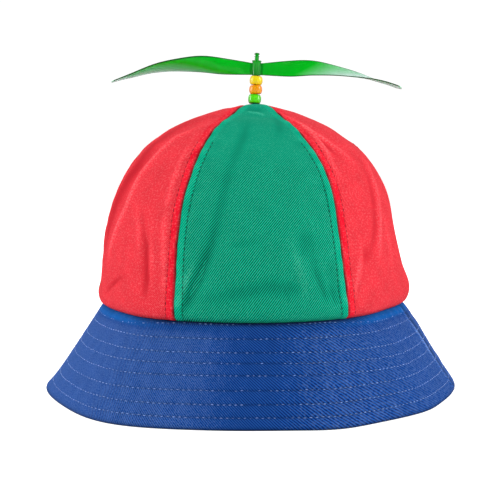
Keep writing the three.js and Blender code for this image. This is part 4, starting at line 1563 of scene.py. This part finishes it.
def blade_mesh(name, tip_bend, cupped):
    """One blade along +X, as a loft of thin cupped ovals with a cap at each end."""
    root = BLADE_SECTIONS[0].reach
    stations = np.sin(np.linspace(0, math.pi / 2, BLADE_STATIONS))[:, None]
    reach = root + (BLADE_TIP - root) * stations
    into_tip = np.clip((reach - BLADE_TIP) / BLADE_TIP_ROUND + 1, 0, BLADE_TIP_SHARE)
    half = blade_curve("half", reach) * np.sqrt(1 - into_tip**2)
    twist = np.radians(blade_curve("twist", reach))
    thick = BLADE_THICKNESS + ROOT_SWELL * bell(reach - BARREL_RADIUS, ROOT_SWELL_REACH)
    around = np.linspace(0, 2 * math.pi, SECTION_POINTS, endpoint=False)
    width = squared(np.cos(around), WIDTH_POWER) * half
    cup = cupped * ramp(CUP_START, CUP_FULL, reach) * (1 - ramp(CUP_FADE, BLADE_TIP, reach))
    lift = squared(np.sin(around), LIFT_POWER) * thick / 2 - cup * (1 - (width / half) ** 2)
    rise = blade_curve("rise", reach) + tip_bend * ramp(BEND_START, BEND_END, reach)
    y = width * np.cos(twist) - lift * np.sin(twist)
    z = width * np.sin(twist) + lift * np.cos(twist) + rise
    points = np.stack(np.broadcast_arrays(reach, y, z), -1)
    corner = np.arange(points[..., 0].size).reshape(BLADE_STATIONS, SECTION_POINTS)
    faces = tube_faces(corner)[:, ::-1].tolist()
    faces += [corner[0, ::-1].tolist(), corner[-1].tolist()]
    return new_mesh(name, points, faces)


print("half width of a blade at its middle, mm:", round(float(blade_curve("half", BLADE_TIP / 2)), 2))

# %% [markdown]
# ## Propeller
# Two blades and a barrel are moulded in one piece, so booleans join the three. The edges of the blades get a
# painted darker colour, for the light that goes a long way through clear plastic there, and their roots and
# the barrel's foot get painted shade. The barrel takes the darker green of the pin that fills it.

# %% Propeller
BLADE_YAW = -2.2
Blade = namedtuple("Blade", "name turn tip_bend cupped")
BLADES = [Blade("blade_right", 0, 1.4, 1.0), Blade("blade_left", 180, -1.2, 1.6)]
# Shares of a blade's half width between which its edge gets a painted darker colour, from these reaches on
EDGE_START = 0.84
EDGE_FULL = 0.97
EDGE_REACH_START = 3
EDGE_REACH_FULL = 6
# Painted shade where the blades meet the barrel, and at the barrel's foot
ROOT_SHADE = 0.7
ROOT_SHADE_OUT = 0.6
ROOT_SHADE_SPREAD = 0.7
BARREL_FOOT_SHADE_SPREAD = 0.5
BARREL_LIP_RADIUS = 3
BARREL_MARGIN = 0.05


def joined_mesh(name, first, others):
    """The boolean union of closed meshes, as a new mesh."""
    holder = bpy.data.objects.new(name + "_holder", first)
    scene.collection.objects.link(holder)
    helpers = [holder]
    for mesh in others:
        helper = bpy.data.objects.new(mesh.name, mesh)
        scene.collection.objects.link(helper)
        helpers.append(helper)
        union = holder.modifiers.new("join", "BOOLEAN")
        union.operation = "UNION"
        union.solver = "EXACT"
        union.object = helper
    depsgraph = bpy.context.evaluated_depsgraph_get()
    result = bpy.data.meshes.new_from_object(holder.evaluated_get(depsgraph))
    result.name = name
    for helper in helpers:
        bpy.data.objects.remove(helper)
    return result


def tint_propeller(mesh):
    """Paints dark edges, and shade at the roots and the barrel's foot. The barrel gets its own material."""
    yaw = math.radians(BLADE_YAW)
    x, y, z = points_of(mesh).T
    along = x * math.cos(yaw) + y * math.sin(yaw)
    sideways = (y * math.cos(yaw) - x * math.sin(yaw)) * np.sign(along)
    reach = np.abs(along)
    twist = np.radians(blade_curve("twist", reach))
    chord = sideways * np.cos(twist) + (z - blade_curve("rise", reach)) * np.sin(twist)
    edge = ramp(EDGE_START, EDGE_FULL, np.abs(chord) / blade_curve("half", reach))
    edge = edge * ramp(EDGE_REACH_START, EDGE_REACH_FULL, reach)
    on_barrel = np.hypot(x, y) < BARREL_LIP_RADIUS + BARREL_MARGIN
    root = ROOT_SHADE * bell(reach - BARREL_RADIUS - ROOT_SHADE_OUT, ROOT_SHADE_SPREAD) * (1 - on_barrel)
    foot = ROOT_SHADE * bell(z + BARREL_HEIGHT / 2, BARREL_FOOT_SHADE_SPREAD) * on_barrel
    set_tone(mesh, EDGE_TONE, np.maximum(edge, np.maximum(root, foot)))
    centres = np.empty(len(mesh.polygons) * 3)
    mesh.polygons.foreach_get("center", centres)
    barrel_faces = np.hypot(*centres.reshape(-1, 3)[:, :2].T) < BARREL_LIP_RADIUS
    mesh.polygons.foreach_set("material_index", barrel_faces.astype(np.int32))


# The barrel has a rounded foot, a lip around its top, and a bore with a rounded edge. The lip's foot, flare
# and middle and the bore's edge are measured down from its top
FOOT_ROUND = 0.25
LIP_FOOT = 1.1
LIP_FLARE_FOOT = 0.9
LIP_FLARE = 0.08
LIP_MIDDLE = 0.45
LIP_ROUND = 0.35
BORE_EDGE = 0.4
BORE_ROUND = 0.3
half_barrel = BARREL_HEIGHT / 2
barrel_profile = arc(BARREL_RADIUS - FOOT_ROUND, FOOT_ROUND - half_barrel, FOOT_ROUND, -90, 0)
barrel_profile += [[BARREL_RADIUS, half_barrel - LIP_FOOT]]
barrel_profile += [[BARREL_RADIUS + LIP_FLARE, half_barrel - LIP_FLARE_FOOT]]
barrel_profile += arc(BARREL_LIP_RADIUS - LIP_ROUND, half_barrel - LIP_MIDDLE, LIP_ROUND, -60, 90, steps=9)
barrel_profile += arc(BORE_RADIUS + BORE_ROUND, half_barrel - BORE_EDGE, BORE_ROUND, 90, 180)
barrel_profile += [[BORE_RADIUS, -half_barrel]]
barrel_mesh = turned_mesh("barrel", barrel_profile, True)
blade_meshes = []
for blade in BLADES:
    mesh = blade_mesh(blade.name, blade.tip_bend, blade.cupped)
    mesh.transform(Matrix.Rotation(math.radians(blade.turn + BLADE_YAW), 4, "Z"))
    blade_meshes.append(mesh)
propeller_mesh = joined_mesh("propeller_moulded", barrel_mesh, blade_meshes)
tint_propeller(propeller_mesh)
propeller_mesh.transform(string_matrix)
propeller_piece = finished_object(
    "propeller_moulded", propeller_mesh, plastic_materials["green"], "propeller")
propeller_mesh.materials.append(plastic_materials["green_pin"])
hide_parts("propeller")
print("propeller faces:", len(propeller_piece.data.polygons))
